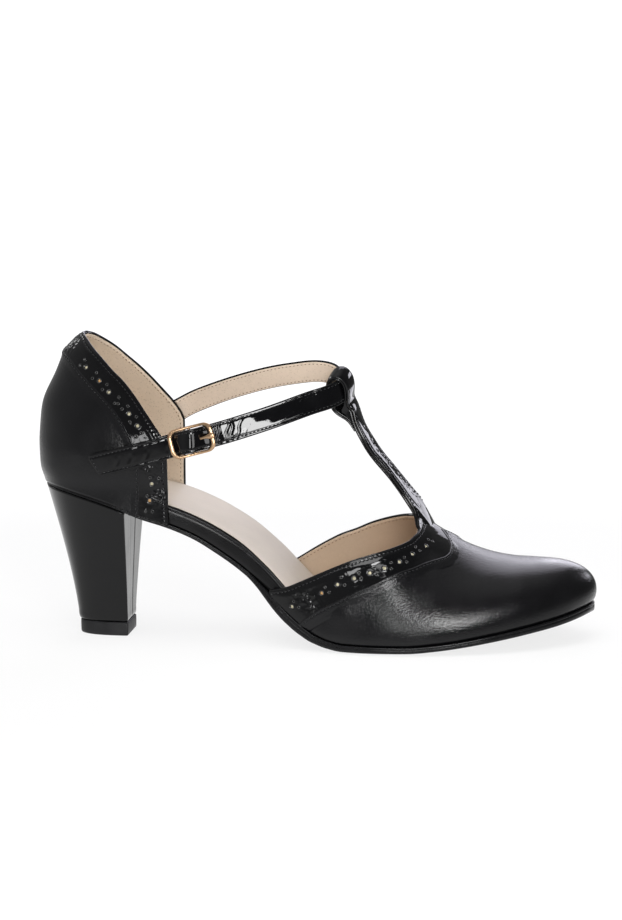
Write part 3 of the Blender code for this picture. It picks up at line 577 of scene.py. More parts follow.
def buckle_frame_axes():
    along = np.array([1.0, 0.17, 0.245])
    along /= np.linalg.norm(along)
    wide = np.array([-0.235, 0.12, 1.0])
    wide -= along * wide.dot(along)
    wide /= np.linalg.norm(wide)
    out = np.cross(along, wide)
    if out[1] > 0:
        out = -out
    return along, wide, out


def buckle_point(u, w, n):
    a, b, c = buckle_frame_axes()
    return BAR_MIDDLE + a * u + b * w + c * n


def buckle_loop(count=56):
    """Middle line of the frame as (along, wide) pairs: a rectangle with round corners."""
    hl, hw, r = BUCKLE_HALF_LONG, BUCKLE_HALF_WIDE, BUCKLE_CORNER
    pts = []
    for cx, cy, a0 in ((hl - r, hw - r, 0), (-hl + r, hw - r, 90), (-hl + r, -hw + r, 180), (hl - r, -hw + r, 270)):
        for k in range(9):
            a = math.radians(a0 + 90 * k / 8)
            pts.append((cx + r * math.cos(a), cy + r * math.sin(a)))
    pts = np.array(pts + [pts[0]])
    s = np.concatenate([[0], np.cumsum(np.hypot(*np.diff(pts, axis=0).T))])
    u = np.linspace(0, s[-1], count, endpoint=False)
    return np.stack([np.interp(u, s, pts[:, 0]), np.interp(u, s, pts[:, 1])], 1)


# tongue of the buckle from its eye on the centre bar through the strap to the front end bar
PRONG = """
along  out
1.2    1.35
3.0    1.85
5.0    2.75
7.0    3.75
8.8    4.38
10.3   4.30
"""
# tab: along the strap from its sewn end on the quarter to the centre bar, round it and back
TAB_EYE = 1.35        # radius of its roll to the middle of the leather
TAB_THICK = 0.8
TAB_WIDE = 9.0
TAB_SEWN = (46.0, 51.0, 56.5)    # x of its sewn part on the quarter


# ================================================================ tools for the looks
MM = 0.001
scene = bpy.context.scene
looks = bpy.data.collections.new("strap_pump_looks")
scene.collection.children.link(looks)


def put(points):
    """Design millimetres to the row frame in metres."""
    return (np.asarray(points, float).reshape(-1, 3) - np.array(ORIGIN)) * MM


def unit(v):
    return v / np.maximum(np.linalg.norm(v, axis=-1, keepdims=True), 1e-12)


def piece(name, points, faces, mat, values=None, merge=0.0, crisp=None):
    """A mesh that rides on the shoe; values are named numbers kept at its points."""
    mesh = bpy.data.meshes.new(name)
    mesh.from_pydata(put(points), [], faces)
    for key, data in (values or {}).items():
        layer = mesh.attributes.new(key, "FLOAT", "POINT")
        layer.data.foreach_set("value", np.asarray(data, np.float32).ravel())
    bm = bmesh.new()
    bm.from_mesh(mesh)
    if merge:
        bmesh.ops.remove_doubles(bm, verts=bm.verts[:], dist=merge * MM)
    bmesh.ops.recalc_face_normals(bm, faces=bm.faces[:])
    bm.to_mesh(mesh)
    bm.free()
    mesh.shade_smooth()
    if crisp is not None:
        mesh.set_sharp_from_angle(angle=math.radians(crisp))
    mesh.materials.append(mat)
    obj = bpy.data.objects.new(name, mesh)
    looks.objects.link(obj)
    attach(obj, "root")
    return obj


def grid_faces(n, m, start=0, loop_n=False, loop_m=False):
    idx = np.arange(n * m).reshape(n, m) + start
    if loop_n:
        idx = np.concatenate([idx, idx[:1]])
    if loop_m:
        idx = np.concatenate([idx, idx[:, :1]], 1)
    return np.stack([idx[:-1, :-1], idx[1:, :-1], idx[1:, 1:], idx[:-1, 1:]], -1).reshape(-1, 4)


def sheet(name, outer, inner, mat, values=None, merge=0.0, loop_n=False, crisp=None):
    """A closed sheet between two grids of points of the same size."""
    n, m = outer.shape[:2]
    pts = np.concatenate([outer.reshape(-1, 3), inner.reshape(-1, 3)])
    faces = [grid_faces(n, m, 0, loop_n), grid_faces(n, m, n * m, loop_n)[:, ::-1]]
    idx = np.arange(n * m).reshape(n, m)
    rims = [idx[:, 0], idx[::-1, -1]]
    if not loop_n:
        rims += [idx[0, ::-1], idx[-1, :]]
    for rim in rims:
        if loop_n:
            rim = np.concatenate([rim, rim[:1]])
        faces.append(np.stack([rim[:-1], rim[:-1] + n * m, rim[1:] + n * m, rim[1:]], -1))
    faces = np.concatenate(faces)
    if values:
        values = {k: np.concatenate([np.asarray(v).ravel()] * 2) for k, v in values.items()}
    return piece(name, pts, faces.tolist(), mat, values, merge, crisp)


def band(name, outer, inner, mat):
    """A closed band between two grids of points of the same length; the hidden one has fewer points across."""
    n, m, k = *outer.shape[:2], inner.shape[1]
    faces = grid_faces(n, m, 0, False).tolist() + grid_faces(n, k, n * m, False)[:, ::-1].tolist()
    a, b = np.arange(n * m).reshape(n, m), n * m + np.arange(n * k).reshape(n, k)
    for rim, under in ((a[:, 0], b[:, 0]), (a[::-1, -1], b[::-1, -1])):
        faces += np.stack([rim[:-1], under[:-1], under[1:], rim[1:]], -1).tolist()
    step = np.round(np.arange(m) * (k - 1) / (m - 1)).astype(int)
    for rim, under in ((a[0, ::-1], b[0, ::-1]), (a[-1], b[-1])):
        for i in range(m - 1):
            faces.append(list(dict.fromkeys(int(q) for q in (rim[i], under[step[i]], under[step[i + 1]], rim[i + 1]))))
    return piece(name, np.concatenate([outer.reshape(-1, 3), inner.reshape(-1, 3)]), faces, mat)


def fewer(count, keep):
    """Evenly spread places of a row, its two ends among them."""
    return np.unique(np.round(np.linspace(0, count - 1, keep)).astype(int))


def rods(name, rings, mat, closed=False, merge=0.0):
    """A closed skin over rings of points (n x m x 3); open ends get caps."""
    n, m = rings.shape[:2]
    faces = grid_faces(n, m, 0, closed, True).tolist()
    if not closed:
        faces += [list(range(m)), [(n - 1) * m + k for k in reversed(range(m))]]
    return piece(name, rings.reshape(-1, 3), faces, mat, merge=merge)


def joined(name, parts, mat):
    """Many small closed rods in one mesh; parts are ring arrays (n x m x 3)."""
    pts, faces, start = [], [], 0
    for rings in parts:
        n, m = rings.shape[:2]
        pts.append(rings.reshape(-1, 3))
        faces += grid_faces(n, m, start, False, True).tolist()
        faces += [[start + k for k in range(m)], [start + (n - 1) * m + k for k in reversed(range(m))]]
        start += n * m
    return piece(name, np.concatenate(pts), faces, mat)


def hoops(name, parts, mat):
    """Many small rims in one mesh; parts are ring arrays that close both ways (n x m x 3)."""
    pts, faces, start = [], [], 0
    for rings in parts:
        n, m = rings.shape[:2]
        pts.append(rings.reshape(-1, 3))
        faces += grid_faces(n, m, start, True, True).tolist()
        start += n * m
    return piece(name, np.concatenate(pts), faces, mat)


def hoop(centre, normal, radius, thick, count=16, around=7):
    """A small round rim lying on a face."""
    side = unit(np.cross(normal, [0.3, 0.2, 1.0]))
    other = np.cross(normal, side)
    a, b = (np.linspace(0, 2 * math.pi, k + 1)[:-1] for k in (count, around))
    out = side * np.cos(a)[:, None] + other * np.sin(a)[:, None]
    return centre + out[:, None] * (radius + thick * np.cos(b))[None, :, None] + normal * (thick * np.sin(b))[None, :, None]


def stitch_rings(line, up, long=1.45, thick=0.17, pitch=2.0, sink=0.02):
    """Rings of one thread stitch after another along a line, with up the surface normals along it."""
    s = np.concatenate([[0], np.cumsum(np.linalg.norm(np.diff(line, axis=0), axis=1))])
    count = int(s[-1] // pitch)
    parts = []
    for k in range(count):
        mid = (k + 0.5) * s[-1] / count
        u = mid + np.array([-0.5, -0.42, -0.2, 0.2, 0.42, 0.5]) * long
        p = np.stack([np.interp(u, s, line[:, i]) for i in range(3)], 1)
        n = unit(np.stack([np.interp(u, s, up[:, i]) for i in range(3)], 1))
        t = unit(np.gradient(p, axis=0))
        b = np.cross(n, t)
        r = thick * np.array([0.25, 0.75, 1.0, 1.0, 0.75, 0.25])
        lift = thick * np.array([-0.9, -0.1, 0.5, 0.5, -0.1, -0.9]) - sink
        a = np.linspace(0, 2 * math.pi, 7)[:-1]
        ring = p[:, None] + n[:, None] * (lift[:, None, None] + (r[:, None] * np.sin(a))[..., None]) + b[:, None] * (r[:, None] * 1.15 * np.cos(a))[..., None]
        parts.append(ring)
    return parts


def ripple(points, size, seed):
    """Soft irregular waves, about -1 to 1, from a few crossing sine waves of about that size in millimetres."""
    rng = np.random.default_rng(seed)
    p = np.asarray(points, float)
    total = np.zeros(p.shape[:-1])
    for _ in range(7):
        d = unit(rng.normal(size=3))
        total += np.sin(p @ d * 2 * math.pi / (size * rng.uniform(0.7, 1.5)) + rng.uniform(0, 2 * math.pi))
    return total / 3.2


def bump_at(points, centre, radius):
    """1 at a centre, falling softly to 0 about a radius away."""
    return np.exp(-np.sum((np.asarray(points) - np.asarray(centre)) ** 2, -1) / radius**2)


# ================================================================ materials
def shader(name, colour, rough, **inputs):
    mat = bpy.data.materials.new(name)
    mat.use_nodes = True
    nodes, links = mat.node_tree.nodes, mat.node_tree.links
    node = next(n for n in nodes if n.type == "BSDF_PRINCIPLED")
    node.inputs["Base Color"].default_value = (*colour, 1.0)
    node.inputs["Roughness"].default_value = rough
    for key, value in inputs.items():
        node.inputs[key.replace("_", " ")].default_value = value
    return mat, nodes, links, node


def coords(nodes, links, scale=(1.0, 1.0, 1.0)):
    where = nodes.new("ShaderNodeTexCoord")
    mapping = nodes.new("ShaderNodeMapping")
    mapping.inputs["Scale"].default_value = scale
    links.new(where.outputs["Object"], mapping.inputs["Vector"])
    return mapping.outputs["Vector"]


def noise(nodes, links, vector, scale, detail=3.0, rough=0.5, distortion=0.0):
    node = nodes.new("ShaderNodeTexNoise")
    node.inputs["Scale"].default_value = scale
    node.inputs["Detail"].default_value = detail
    node.inputs["Roughness"].default_value = rough
    node.inputs["Distortion"].default_value = distortion
    links.new(vector, node.inputs["Vector"])
    return node.outputs["Fac"]


def cells(nodes, links, vector, scale, feature="F1"):
    node = nodes.new("ShaderNodeTexVoronoi")
    node.feature = feature
    node.inputs["Scale"].default_value = scale
    links.new(vector, node.inputs["Vector"])
    return node.outputs["Distance"]


def spread(nodes, links, value, low, high, to_low=0.0, to_high=1.0):
    node = nodes.new("ShaderNodeMapRange")
    node.inputs["From Min"].default_value = low
    node.inputs["From Max"].default_value = high
    node.inputs["To Min"].default_value = to_low
    node.inputs["To Max"].default_value = to_high
    links.new(value, node.inputs["Value"])
    return node.outputs["Result"]


def blend(nodes, links, fac, first, second):
    """A colour between two, by a factor; each is a colour or a socket."""
    node = nodes.new("ShaderNodeMix")
    node.data_type = "RGBA"
    links.new(fac, node.inputs[0])
    for socket, value in ((node.inputs[6], first), (node.inputs[7], second)):
        if isinstance(value, tuple):
            socket.default_value = (*value, 1.0)
        else:
            links.new(value, socket)
    return node.outputs[2]


def bumps(nodes, links, target, layers):
    """Bump layers one over another: (height socket, strength, distance in millimetres)."""
    last = None
    for height, strength, deep in layers:
        node = nodes.new("ShaderNodeBump")
        node.inputs["Strength"].default_value = strength
        node.inputs["Distance"].default_value = deep * MM
        links.new(height, node.inputs["Height"])
        if last is not None:
            links.new(last, node.inputs["Normal"])
        last = node.outputs["Normal"]
    links.new(last, target.inputs["Normal"])
    if "Coat Normal" in target.inputs and target.inputs["Coat Weight"].default_value > 0:
        links.new(last, target.inputs["Coat Normal"])


def calf(name, colour=(0.0042, 0.0042, 0.0048), rough=0.20, grain=0.42, coat=0.0):
    mat, nodes, links, node = shader(name, colour, rough, Specular_IOR_Level=0.5, Coat_Weight=coat, Coat_Roughness=0.2)
    where = coords(nodes, links)
    fine = noise(nodes, links, where, 1250.0, 2.0, 0.55)
    pores = cells(nodes, links, where, 1450.0)
    slow = noise(nodes, links, where, 90.0, 3.0, 0.5)
    links.new(spread(nodes, links, slow, 0.3, 0.7, rough - 0.03, rough + 0.05), node.inputs["Roughness"])
    tone = blend(nodes, links, spread(nodes, links, slow, 0.35, 0.7), colour, tuple(c * 1.3 for c in colour))
    links.new(tone, node.inputs["Base Color"])
    bumps(nodes, links, node, [(fine, grain, 0.24), (pores, grain * 0.5, 0.20), (slow, 0.05, 1.2)])
    return mat


def patent(name, colour=(0.0022, 0.0022, 0.0026), crinkle=0.10, gloss=0.03):
    mat, nodes, links, node = shader(name, colour, 0.5, Specular_IOR_Level=0.0, Coat_Weight=1.0, Coat_Roughness=gloss, Coat_IOR=1.5)
    where = coords(nodes, links)
    folds = noise(nodes, links, where, 330.0, 3.0, 0.55, 0.6)
    slow = noise(nodes, links, where, 120.0, 2.0, 0.5)
    tone = blend(nodes, links, spread(nodes, links, slow, 0.35, 0.7), colour, tuple(c * 1.5 for c in colour))
    links.new(tone, node.inputs["Base Color"])
    links.new(spread(nodes, links, folds, 0.3, 0.7, gloss - 0.01, gloss + 0.03), node.inputs["Coat Roughness"])
    bumps(nodes, links, node, [(folds, crinkle, 0.5), (slow, crinkle * 0.6, 1.0)])
    return mat


def lining(name, colour, dark, rough=0.62, pore=0.4, size=1350.0):
    mat, nodes, links, node = shader(name, colour, rough, Specular_IOR_Level=0.35)
    where = coords(nodes, links)
    fine = noise(nodes, links, where, 900.0, 4.0, 0.6)
    dots = cells(nodes, links, where, size)
    slow = noise(nodes, links, where, 55.0, 3.0, 0.55)
    tone = blend(nodes, links, spread(nodes, links, slow, 0.3, 0.75), colour, tuple(c * 0.90 for c in colour))
    tone = blend(nodes, links, spread(nodes, links, fine, 0.35, 0.75, 0.0, 0.5), tone, tuple(c * 1.10 for c in colour))
    tone = blend(nodes, links, spread(nodes, links, dots, 0.08, 0.30, pore, 0.0), tone, dark)
    links.new(tone, node.inputs["Base Color"])
    links.new(spread(nodes, links, fine, 0.3, 0.7, rough - 0.08, rough + 0.10), node.inputs["Roughness"])
    bumps(nodes, links, node, [(fine, 0.18, 0.2), (dots, 0.12, 0.15), (slow, 0.08, 1.0)])
    return mat


def rubber(name, colour=(0.011, 0.011, 0.012), rough=0.55):
    mat, nodes, links, node = shader(name, colour, rough, Specular_IOR_Level=0.45)
    where = coords(nodes, links)
    fine = noise(nodes, links, where, 1800.0, 3.0, 0.6)
    slow = noise(nodes, links, where, 160.0, 3.0, 0.5)
    tone = blend(nodes, links, spread(nodes, links, slow, 0.3, 0.75), colour, tuple(c * 1.8 for c in colour))
    links.new(tone, node.inputs["Base Color"])
    links.new(spread(nodes, links, slow, 0.3, 0.7, rough - 0.08, rough + 0.1), node.inputs["Roughness"])
    bumps(nodes, links, node, [(fine, 0.12, 0.15), (slow, 0.05, 0.6)])
    return mat


def thread(name, colour, rough=0.5):
    mat, nodes, links, node = shader(name, colour, rough, Specular_IOR_Level=0.5)
    where = coords(nodes, links)
    twist = noise(nodes, links, where, 3000.0, 2.0, 0.5)
    tone = blend(nodes, links, spread(nodes, links, twist, 0.3, 0.7), colour, tuple(c * 1.6 for c in colour))
    links.new(tone, node.inputs["Base Color"])
    bumps(nodes, links, node, [(twist, 0.3, 0.1)])
    return mat


def plated(name, colour=(0.83, 0.55, 0.33)):
    mat, nodes, links, node = shader(name, colour, 0.2, Metallic=1.0)
    where = coords(nodes, links)
    wear = noise(nodes, links, where, 420.0, 4.0, 0.6)
    scratch = noise(nodes, links, coords(nodes, links, (900.0, 250.0, 2600.0)), 1.0, 3.0, 0.6)
    tone = blend(nodes, links, spread(nodes, links, wear, 0.35, 0.7), colour, tuple(min(1.0, c * 1.08) for c in colour))
    links.new(tone, node.inputs["Base Color"])
    links.new(spread(nodes, links, wear, 0.3, 0.75, 0.30, 0.42), node.inputs["Roughness"])
    bumps(nodes, links, node, [(scratch, 0.05, 0.1)])
    return mat


CALF = calf("black_calf_skin")
PATENT = patent("black_patent_skin", gloss=0.06)
STRAP_PATENT = patent("black_patent_strap", crinkle=0.05, gloss=0.025)
WRAP = calf("black_insole_wrap", (0.0025, 0.0025, 0.0028), rough=0.22, grain=0.05)
HEEL_SKIN = calf("black_heel_cover", (0.0022, 0.0022, 0.0025), rough=0.15, grain=0.02)
LINING = lining("beige_lining", (0.66, 0.54, 0.415), (0.30, 0.21, 0.13), pore=0.6, size=1050.0)
FORE_LINING = lining("beige_fore_lining", (0.50, 0.37, 0.262), (0.36, 0.26, 0.18), rough=0.5, pore=0.15)


def paint_toe_shade(mat, start, end, tint):
    """Paints shade into a colour: it deepens towards the toe between two places along the shoe, in metres."""
    nodes, links = mat.node_tree.nodes, mat.node_tree.links
    node = next(n for n in nodes if n.type == "BSDF_PRINCIPLED")
    parts = nodes.new("ShaderNodeSeparateXYZ")
    links.new(coords(nodes, links), parts.inputs["Vector"])
    was = node.inputs["Base Color"].links[0].from_socket
    mix = nodes.new("ShaderNodeMix")
    mix.data_type, mix.blend_type = "RGBA", "MULTIPLY"
    links.new(spread(nodes, links, parts.outputs["X"], start, end), mix.inputs[0])
    links.new(was, mix.inputs[6])
    mix.inputs[7].default_value = (*tint, 1.0)
    links.new(mix.outputs[2], node.inputs["Base Color"])


# painted shade: the lining inside the toe box darkens towards the toe
paint_toe_shade(FORE_LINING, 0.012, 0.046, (0.72, 0.64, 0.58))
STRAP_LINING = lining("beige_strap_lining", (0.70, 0.575, 0.46), (0.36, 0.26, 0.17), pore=0.4, size=1050.0)
SOCK = lining("pale_sock", (0.60, 0.535, 0.470), (0.48, 0.39, 0.31), rough=0.5, pore=0.15)
CREAM = lining("cream_underlay", (0.66, 0.60, 0.42), (0.40, 0.32, 0.20), pore=0.2)
TAN = lining("tan_underlay", (0.60, 0.36, 0.16), (0.35, 0.20, 0.10), pore=0.2)
SOLE_SKIN = rubber("black_sole", (0.0035, 0.0035, 0.004), rough=0.22)
TOP_RUBBER = rubber("black_top_piece", rough=0.5)
THREAD = thread("black_thread", (0.010, 0.010, 0.011), 0.30)
PALE_THREAD = thread("brown_thread", (0.16, 0.10, 0.06), 0.7)
PUNCHED = patent("black_punched_rims", colour=(0.03, 0.03, 0.03), crinkle=0.02, gloss=0.08)
PUNCHED.node_tree.nodes["Principled BSDF"].inputs["Coat IOR"].default_value = 2.0
GOLD = plated("rose_gold_plate")


# ================================================================ vamp
# towards the T-bar the inner topline stands a little higher than the cut of the wall
INNER_RISE = np.interp(TOPLINE["x"], [112.0, 125.0, 145.0, 160.0, 175.0], [0.0, 0.6, 1.1, 1.7, 1.7])
F_TOP_INNER = steady(TOPLINE["x"], TOPLINE["inner"] + INNER_RISE)


# w runs across the vamp: -1 at the outer feather line, 0 on the ridge, 1 at the inner feather line
def vamp_points(x, w):
    x, w = np.broadcast_arrays(np.asarray(x, float), np.asarray(w, float))
    y = np.where(w < 0, OUTER(x), INNER(x))
    low = feather(x, y)
    mid, ridge, full = F_OFF(x), F_RIDGE(x), F_FULL(x)
    th = (1 - np.abs(w)) * math.pi / 2
    c, s = np.maximum(np.cos(th), 0) ** (2 / full), np.maximum(np.sin(th), 0) ** (2 / full)
    z = low + (ridge - low) * s
    swell = TOE_BULGE * (1 - np.exp(-(z - low) / 3.0))
    return np.stack([x, mid + (y - mid) * c * (1 + swell / np.abs(y - mid)), z], -1)


def vamp_slopes(x, w):
    return (vamp_points(x + 0.05, w) - vamp_points(x - 0.05, w)) / 0.1, (vamp_points(x, w + 0.002) - vamp_points(x, w - 0.002)) / 0.004


def vamp_normals(x, w):
    a, b = vamp_slopes(x, w)
    n = unit(np.cross(a, b))
    inside = np.stack([np.asarray(x, float), F_OFF(x), np.full(np.shape(x), 5.0)], -1)
    flip = np.sum(n * (vamp_points(x, w) - inside), -1) < 0
    return np.where(flip[..., None], -n, n)


def topline_w(x, side):
    """w of the vamp's upper edge at x."""
    x = np.asarray(x, float)
    y = OUTER(x) if side < 0 else INNER(x)
    z = F_TOP_OUTER(x) if side < 0 else F_TOP_INNER(x)
    low = feather(x, y)
    f = np.clip((z - low) / (F_RIDGE(x) - low), 0, 1)
    return side * (1 - np.arcsin(f ** (F_FULL(x) / 2)) / (math.pi / 2))


# trim of the vamp from its rear end to the ridge: top = x on the topline (across where it is the throat edge),
# seam = x on the seam with the plain leather, rise = how far that lies up the section, 0 feather line, 1 ridge
TRIM = table("""
top     across  seam    rise
105.0   9       105.0   0.000
108.5   9       111.5   0.000
111.5   9       115.0   0.000
114.2   9       118.2   0.000
116.5   9       120.5   0.028
119.0   9       123.7   0.061
121.8   9       127.3   0.091
134.5   9       141.9   0.190
145.5   9       153.9   0.286
155.0   9       165.3   0.432
161.3   9       173.0   0.550
164.6   9       177.5   0.615
166.7   9       180.3   0.670
167.9   0.268   181.5   0.735
168.5   0.205   181.4   0.800
168.6   0.140   180.4   0.862
168.6   0.070   178.2   0.930
168.6   0.000   175.6   1.000
""")
LAST_WING = 12        # row up to which the trim follows the topline of the vamp's sides


def trim_rails(side, count=900):
    """(x, w) along the topline and along the seam, from the rear end of the vamp to the ridge."""
    k = np.arange(len(TRIM["top"]), dtype=float)
    t = np.linspace(0, k[-1], count)
    top_x, low_x, rise = steady(k, TRIM["top"])(t), steady(k, TRIM["seam"])(t), steady(k, TRIM["rise"])(t)
    wing = np.where(TRIM["across"] > 1, np.abs(topline_w(TRIM["top"], side)), TRIM["across"] * (1.0 if side < 0 else 0.72))
    exact = np.abs(topline_w(top_x, side))
    top_w = np.where(t < LAST_WING, exact, steady(k, wing)(t))
    return np.stack([top_x, side * np.maximum(top_w, 1e-5)], 1), np.stack([low_x, side * np.maximum(1 - rise, 1e-5)], 1)


def trim_rail_pair():
    """Topline and seam over both sides, spaced evenly along the middle of the trim."""
    a_top, a_low = trim_rails(-1)
    b_top, b_low = trim_rails(1)
    top, low = np.concatenate([a_top, b_top[::-1][1:]]), np.concatenate([a_low, b_low[::-1][1:]])
    mid = vamp_points(*(0.5 * (top + low)).T)
    s = np.concatenate([[0], np.cumsum(np.linalg.norm(np.diff(mid, axis=0), axis=1))])
    u = np.linspace(0, s[-1], 760)
    again = lambda a: np.stack([np.interp(u, s, a[:, i]) for i in range(2)], 1)
    return again(top), again(low)


TOP_RAIL, SEAM_RAIL = trim_rail_pair()
SEAM_LINE = vamp_points(*SEAM_RAIL.T)
TRIM_FACE = 0.32      # outer face of the trim above the upper's face
TRIM_BED = -0.75      # the leather under the trim


def inside_polygon(points, poly):
    x, y = points[:, 0], points[:, 1]
    found = np.zeros(len(points), bool)
    for (x0, y0), (x1, y1) in zip(poly, np.roll(poly, -1, 0)):
        cross = (y0 > y) != (y1 > y)
        at = x0 + (y - y0) * (x1 - x0) / np.where(abs(y1 - y0) < 1e-12, 1e-12, y1 - y0)
        found ^= cross & (x < at)
    return found


def seam_distance(points):
    out = np.empty(len(points))
    for i in range(0, len(points), 2000):
        d = points[i : i + 2000, None] - SEAM_LINE[None, ::2]
        out[i : i + 2000] = np.sqrt(np.min(np.sum(d * d, -1), 1))
    return out


# soft dents and swellings of the vamp leather: place, reach and height
DENTS = table("""
x      y      z     reach  high
127.0  -38.0  14.0  7.0    -0.50
137.0  -40.0  17.0  5.0    0.42
147.0  -41.5  13.0  8.0    -0.35
184.0  -30.0  30.0  9.0    -0.25
196.0  28.0   24.0  9.0    -0.30
130.0  30.0   16.0  7.0    -0.40
150.0  35.0   14.0  8.0    0.30
""")


def dented(points, normals):
    lift = np.zeros(points.shape[:-1])
    for x, y, z, reach, high in zip(*(DENTS[k] for k in ("x", "y", "z", "reach", "high"))):
        lift += high * bump_at(points, (x, y, z), reach)
    return lift + 0.05 * ripple(points, 16.0, 4)


def vamp_columns():
    wing = np.concatenate([np.linspace(VAMP_BACK, 164.0, 60), np.linspace(164.5, THROAT - 0.4, 9)])
    full = np.linspace(THROAT + 0.2, POLE_X, 46)
    toe = np.linspace(-90, 90, 73)[1:-1]
    cols = [("wing", -1, x) for x in wing] + [("full", -1, x) for x in full] + [("toe", 0, a) for a in toe]
    return cols + [("full", 1, x) for x in full[::-1]] + [("wing", 1, x) for x in wing[::-1]]


def vamp_grid(low=44, high=14):
    """Columns of points from the feather line to the topline or the ridge, and the faces between them."""
    pts, grid, ridge = [], [], {}
    for kind, side, v in vamp_columns():
        col = column(side, x=v) if kind != "toe" else column(0, ang=v)
        if kind == "wing":
            edge = (1 - abs(float(topline_w(v, side)))) * math.pi / 2
        else:
            edge = th_at_reach(col, 8.0)
        start = len(pts)
        pts += [section(*col, edge * k / low) for k in range(low + 1)]
        ids = list(range(start, len(pts)))
        if kind != "wing":
            start = len(pts)
            pts += [section(*col, edge + (math.pi / 2 - edge) * k / high) for k in range(1, high)]
            ids += range(start, len(pts))
            key = "pole" if kind == "toe" or v == POLE_X else round(v, 3)
            if key not in ridge:
                ridge[key] = len(pts)
                pts.append(np.array(col[1]))
            ids.append(ridge[key])
        grid.append(ids)
    faces = []
    for a, b in zip(grid[:-1], grid[1:]):
        for k in range(min(len(a), len(b)) - 1):
            faces.append(tuple(dict.fromkeys([a[k], b[k], b[k + 1], a[k + 1]])))
    return np.array(pts), faces


def mesh_normals(points, faces):
    mesh = bpy.data.meshes.new("measure")
    mesh.from_pydata(points, [], faces)
    n = np.empty(len(points) * 3)
    mesh.vertex_normals.foreach_get("vector", n)
    bpy.data.meshes.remove(mesh)
    return n.reshape(-1, 3)


def thick_mesh(name, outer, inner, faces, mat):
    """A closed shell between an outer and an inner copy of the same faces."""
    count = len(outer)
    edges = {}
    for f in faces:
        for a, b in zip(f, f[1:] + f[:1]):
            edges[(min(a, b), max(a, b))] = edges.get((min(a, b), max(a, b)), 0) + 1
    rims = [(a, b, b + count, a + count) for (a, b), used in edges.items() if used == 1]
    back = [tuple(i + count for i in reversed(f)) for f in faces]
    return piece(name, np.concatenate([outer, inner]), list(faces) + back + rims, mat)


def build_vamp_skin():
    pts, faces = vamp_grid()
    n = mesh_normals(pts, faces)
    if np.sum(n * (pts - np.array([165.0, 0.0, 5.0])), -1).mean() < 0:
        n = -n
    away = seam_distance(pts)
    # the trim's area in plan: inside the seam line
    within = inside_polygon(pts[:, :2], np.concatenate([SEAM_LINE[:, :2], [[90, 60], [90, -60]]])) | (pts[:, 0] < 118.2)
    # near the feather line the plan of the wall folds over itself, so the height decides there
    for side, sel in ((-1, pts[:, 1] < 0), (1, pts[:, 1] >= 0)):
        seam = SEAM_LINE[np.sign(SEAM_RAIL[:, 1]) == side]
        seam = seam[(seam[:, 0] < 172)]
        seam = seam[np.argsort(seam[:, 0])]
        wall = sel & (pts[:, 0] < 172.0)
        within[wall] = pts[wall, 2] > np.interp(pts[wall, 0], seam[:, 0], seam[:, 2])
    signed = np.where(within, away, -away)
    bed = np.clip((signed - 0.1) / 0.9, 0, 1)
    lift = dented(pts, n) * (1 - bed) + TRIM_BED * bed * bed * (3 - 2 * bed)
    outer = pts + n * lift[:, None]
    outer[:, 2] = np.maximum(outer[:, 2], pts[:, 2].min())
    skin = thick_mesh("vamp_leather", outer, pts + n * (lift - 0.5)[:, None], faces, CALF)
    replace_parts(skin, "vamp")
    lined = thick_mesh("vamp_lining", pts - n * 1.25, pts - n * (WALL + 0.02), faces, FORE_LINING)
    return skin, lined


build_vamp_skin()

# perforations of the vamp's trim on the outer side: each large hole by its x and its rise on the section;
# the inner side repeats them
VAMP_HOLES = table("""
x      rise   tone
115.3  0.038  0
128.6  0.147  1
135.4  0.197  0
142.7  0.246  0
149.4  0.299  0
155.5  0.353  0
161.7  0.438  0
166.4  0.542  0
171.6  0.667  0
""")
VAMP_PRICKS = table("""
x      rise
116.2  0.060
118.3  0.055
130.3  0.170
132.0  0.160
137.3  0.226
138.7  0.206
144.8  0.276
145.9  0.262
151.1  0.330
152.4  0.311
158.2  0.399
158.4  0.372
163.3  0.478
164.5  0.469
167.4  0.601
169.3  0.599
172.2  0.734
174.0  0.741
""")
# puckers of the patent, where it is drawn together: place, reach and height
VAMP_PUCKERS = table("""
x      y      z     reach  high
121.5  -35.9  24.0  3.4    0.20
124.8  -36.8  20.8  3.0    0.22
126.0  -37.3  17.6  1.8    0.16
117.6  -34.8  24.4  2.0    0.08
163.5  -30.5  40.0  2.2    0.06
122.0  24.0   26.0  3.4    0.16
""")
HOLE_WIDE, PRICK_WIDE = 0.90, 0.48     # radius of the large and of the small holes


def dip(face, centre, radius, deep):
    """How far a face sinks into a punched hole, with a slightly raised rim."""
    r = np.linalg.norm(face - centre, axis=-1) / radius
    e = np.clip((1.12 - r) / 0.34, 0, 1)
    return -deep * e * e * (3 - 2 * e) + 0.06 * np.exp(-(((r - 1.45) / 0.32) ** 2))


def disc_rings(centre, normal, radius, below):
    """A small round plug seen at the bottom of a hole."""
    side = unit(np.cross(normal, [0.3, 0.2, 1.0]))
    other = np.cross(normal, side)
    a = np.linspace(0, 2 * math.pi, 17)[:-1]
    rings = []
    for r, h in ((0.55, -0.5), (1.0, -0.35), (1.0, -0.02), (0.6, 0.05), (0.2, 0.07)):
        rings.append(centre + normal * (h - below) + (side * np.cos(a)[:, None] + other * np.sin(a)[:, None]) * radius * r)
    return np.array(rings)


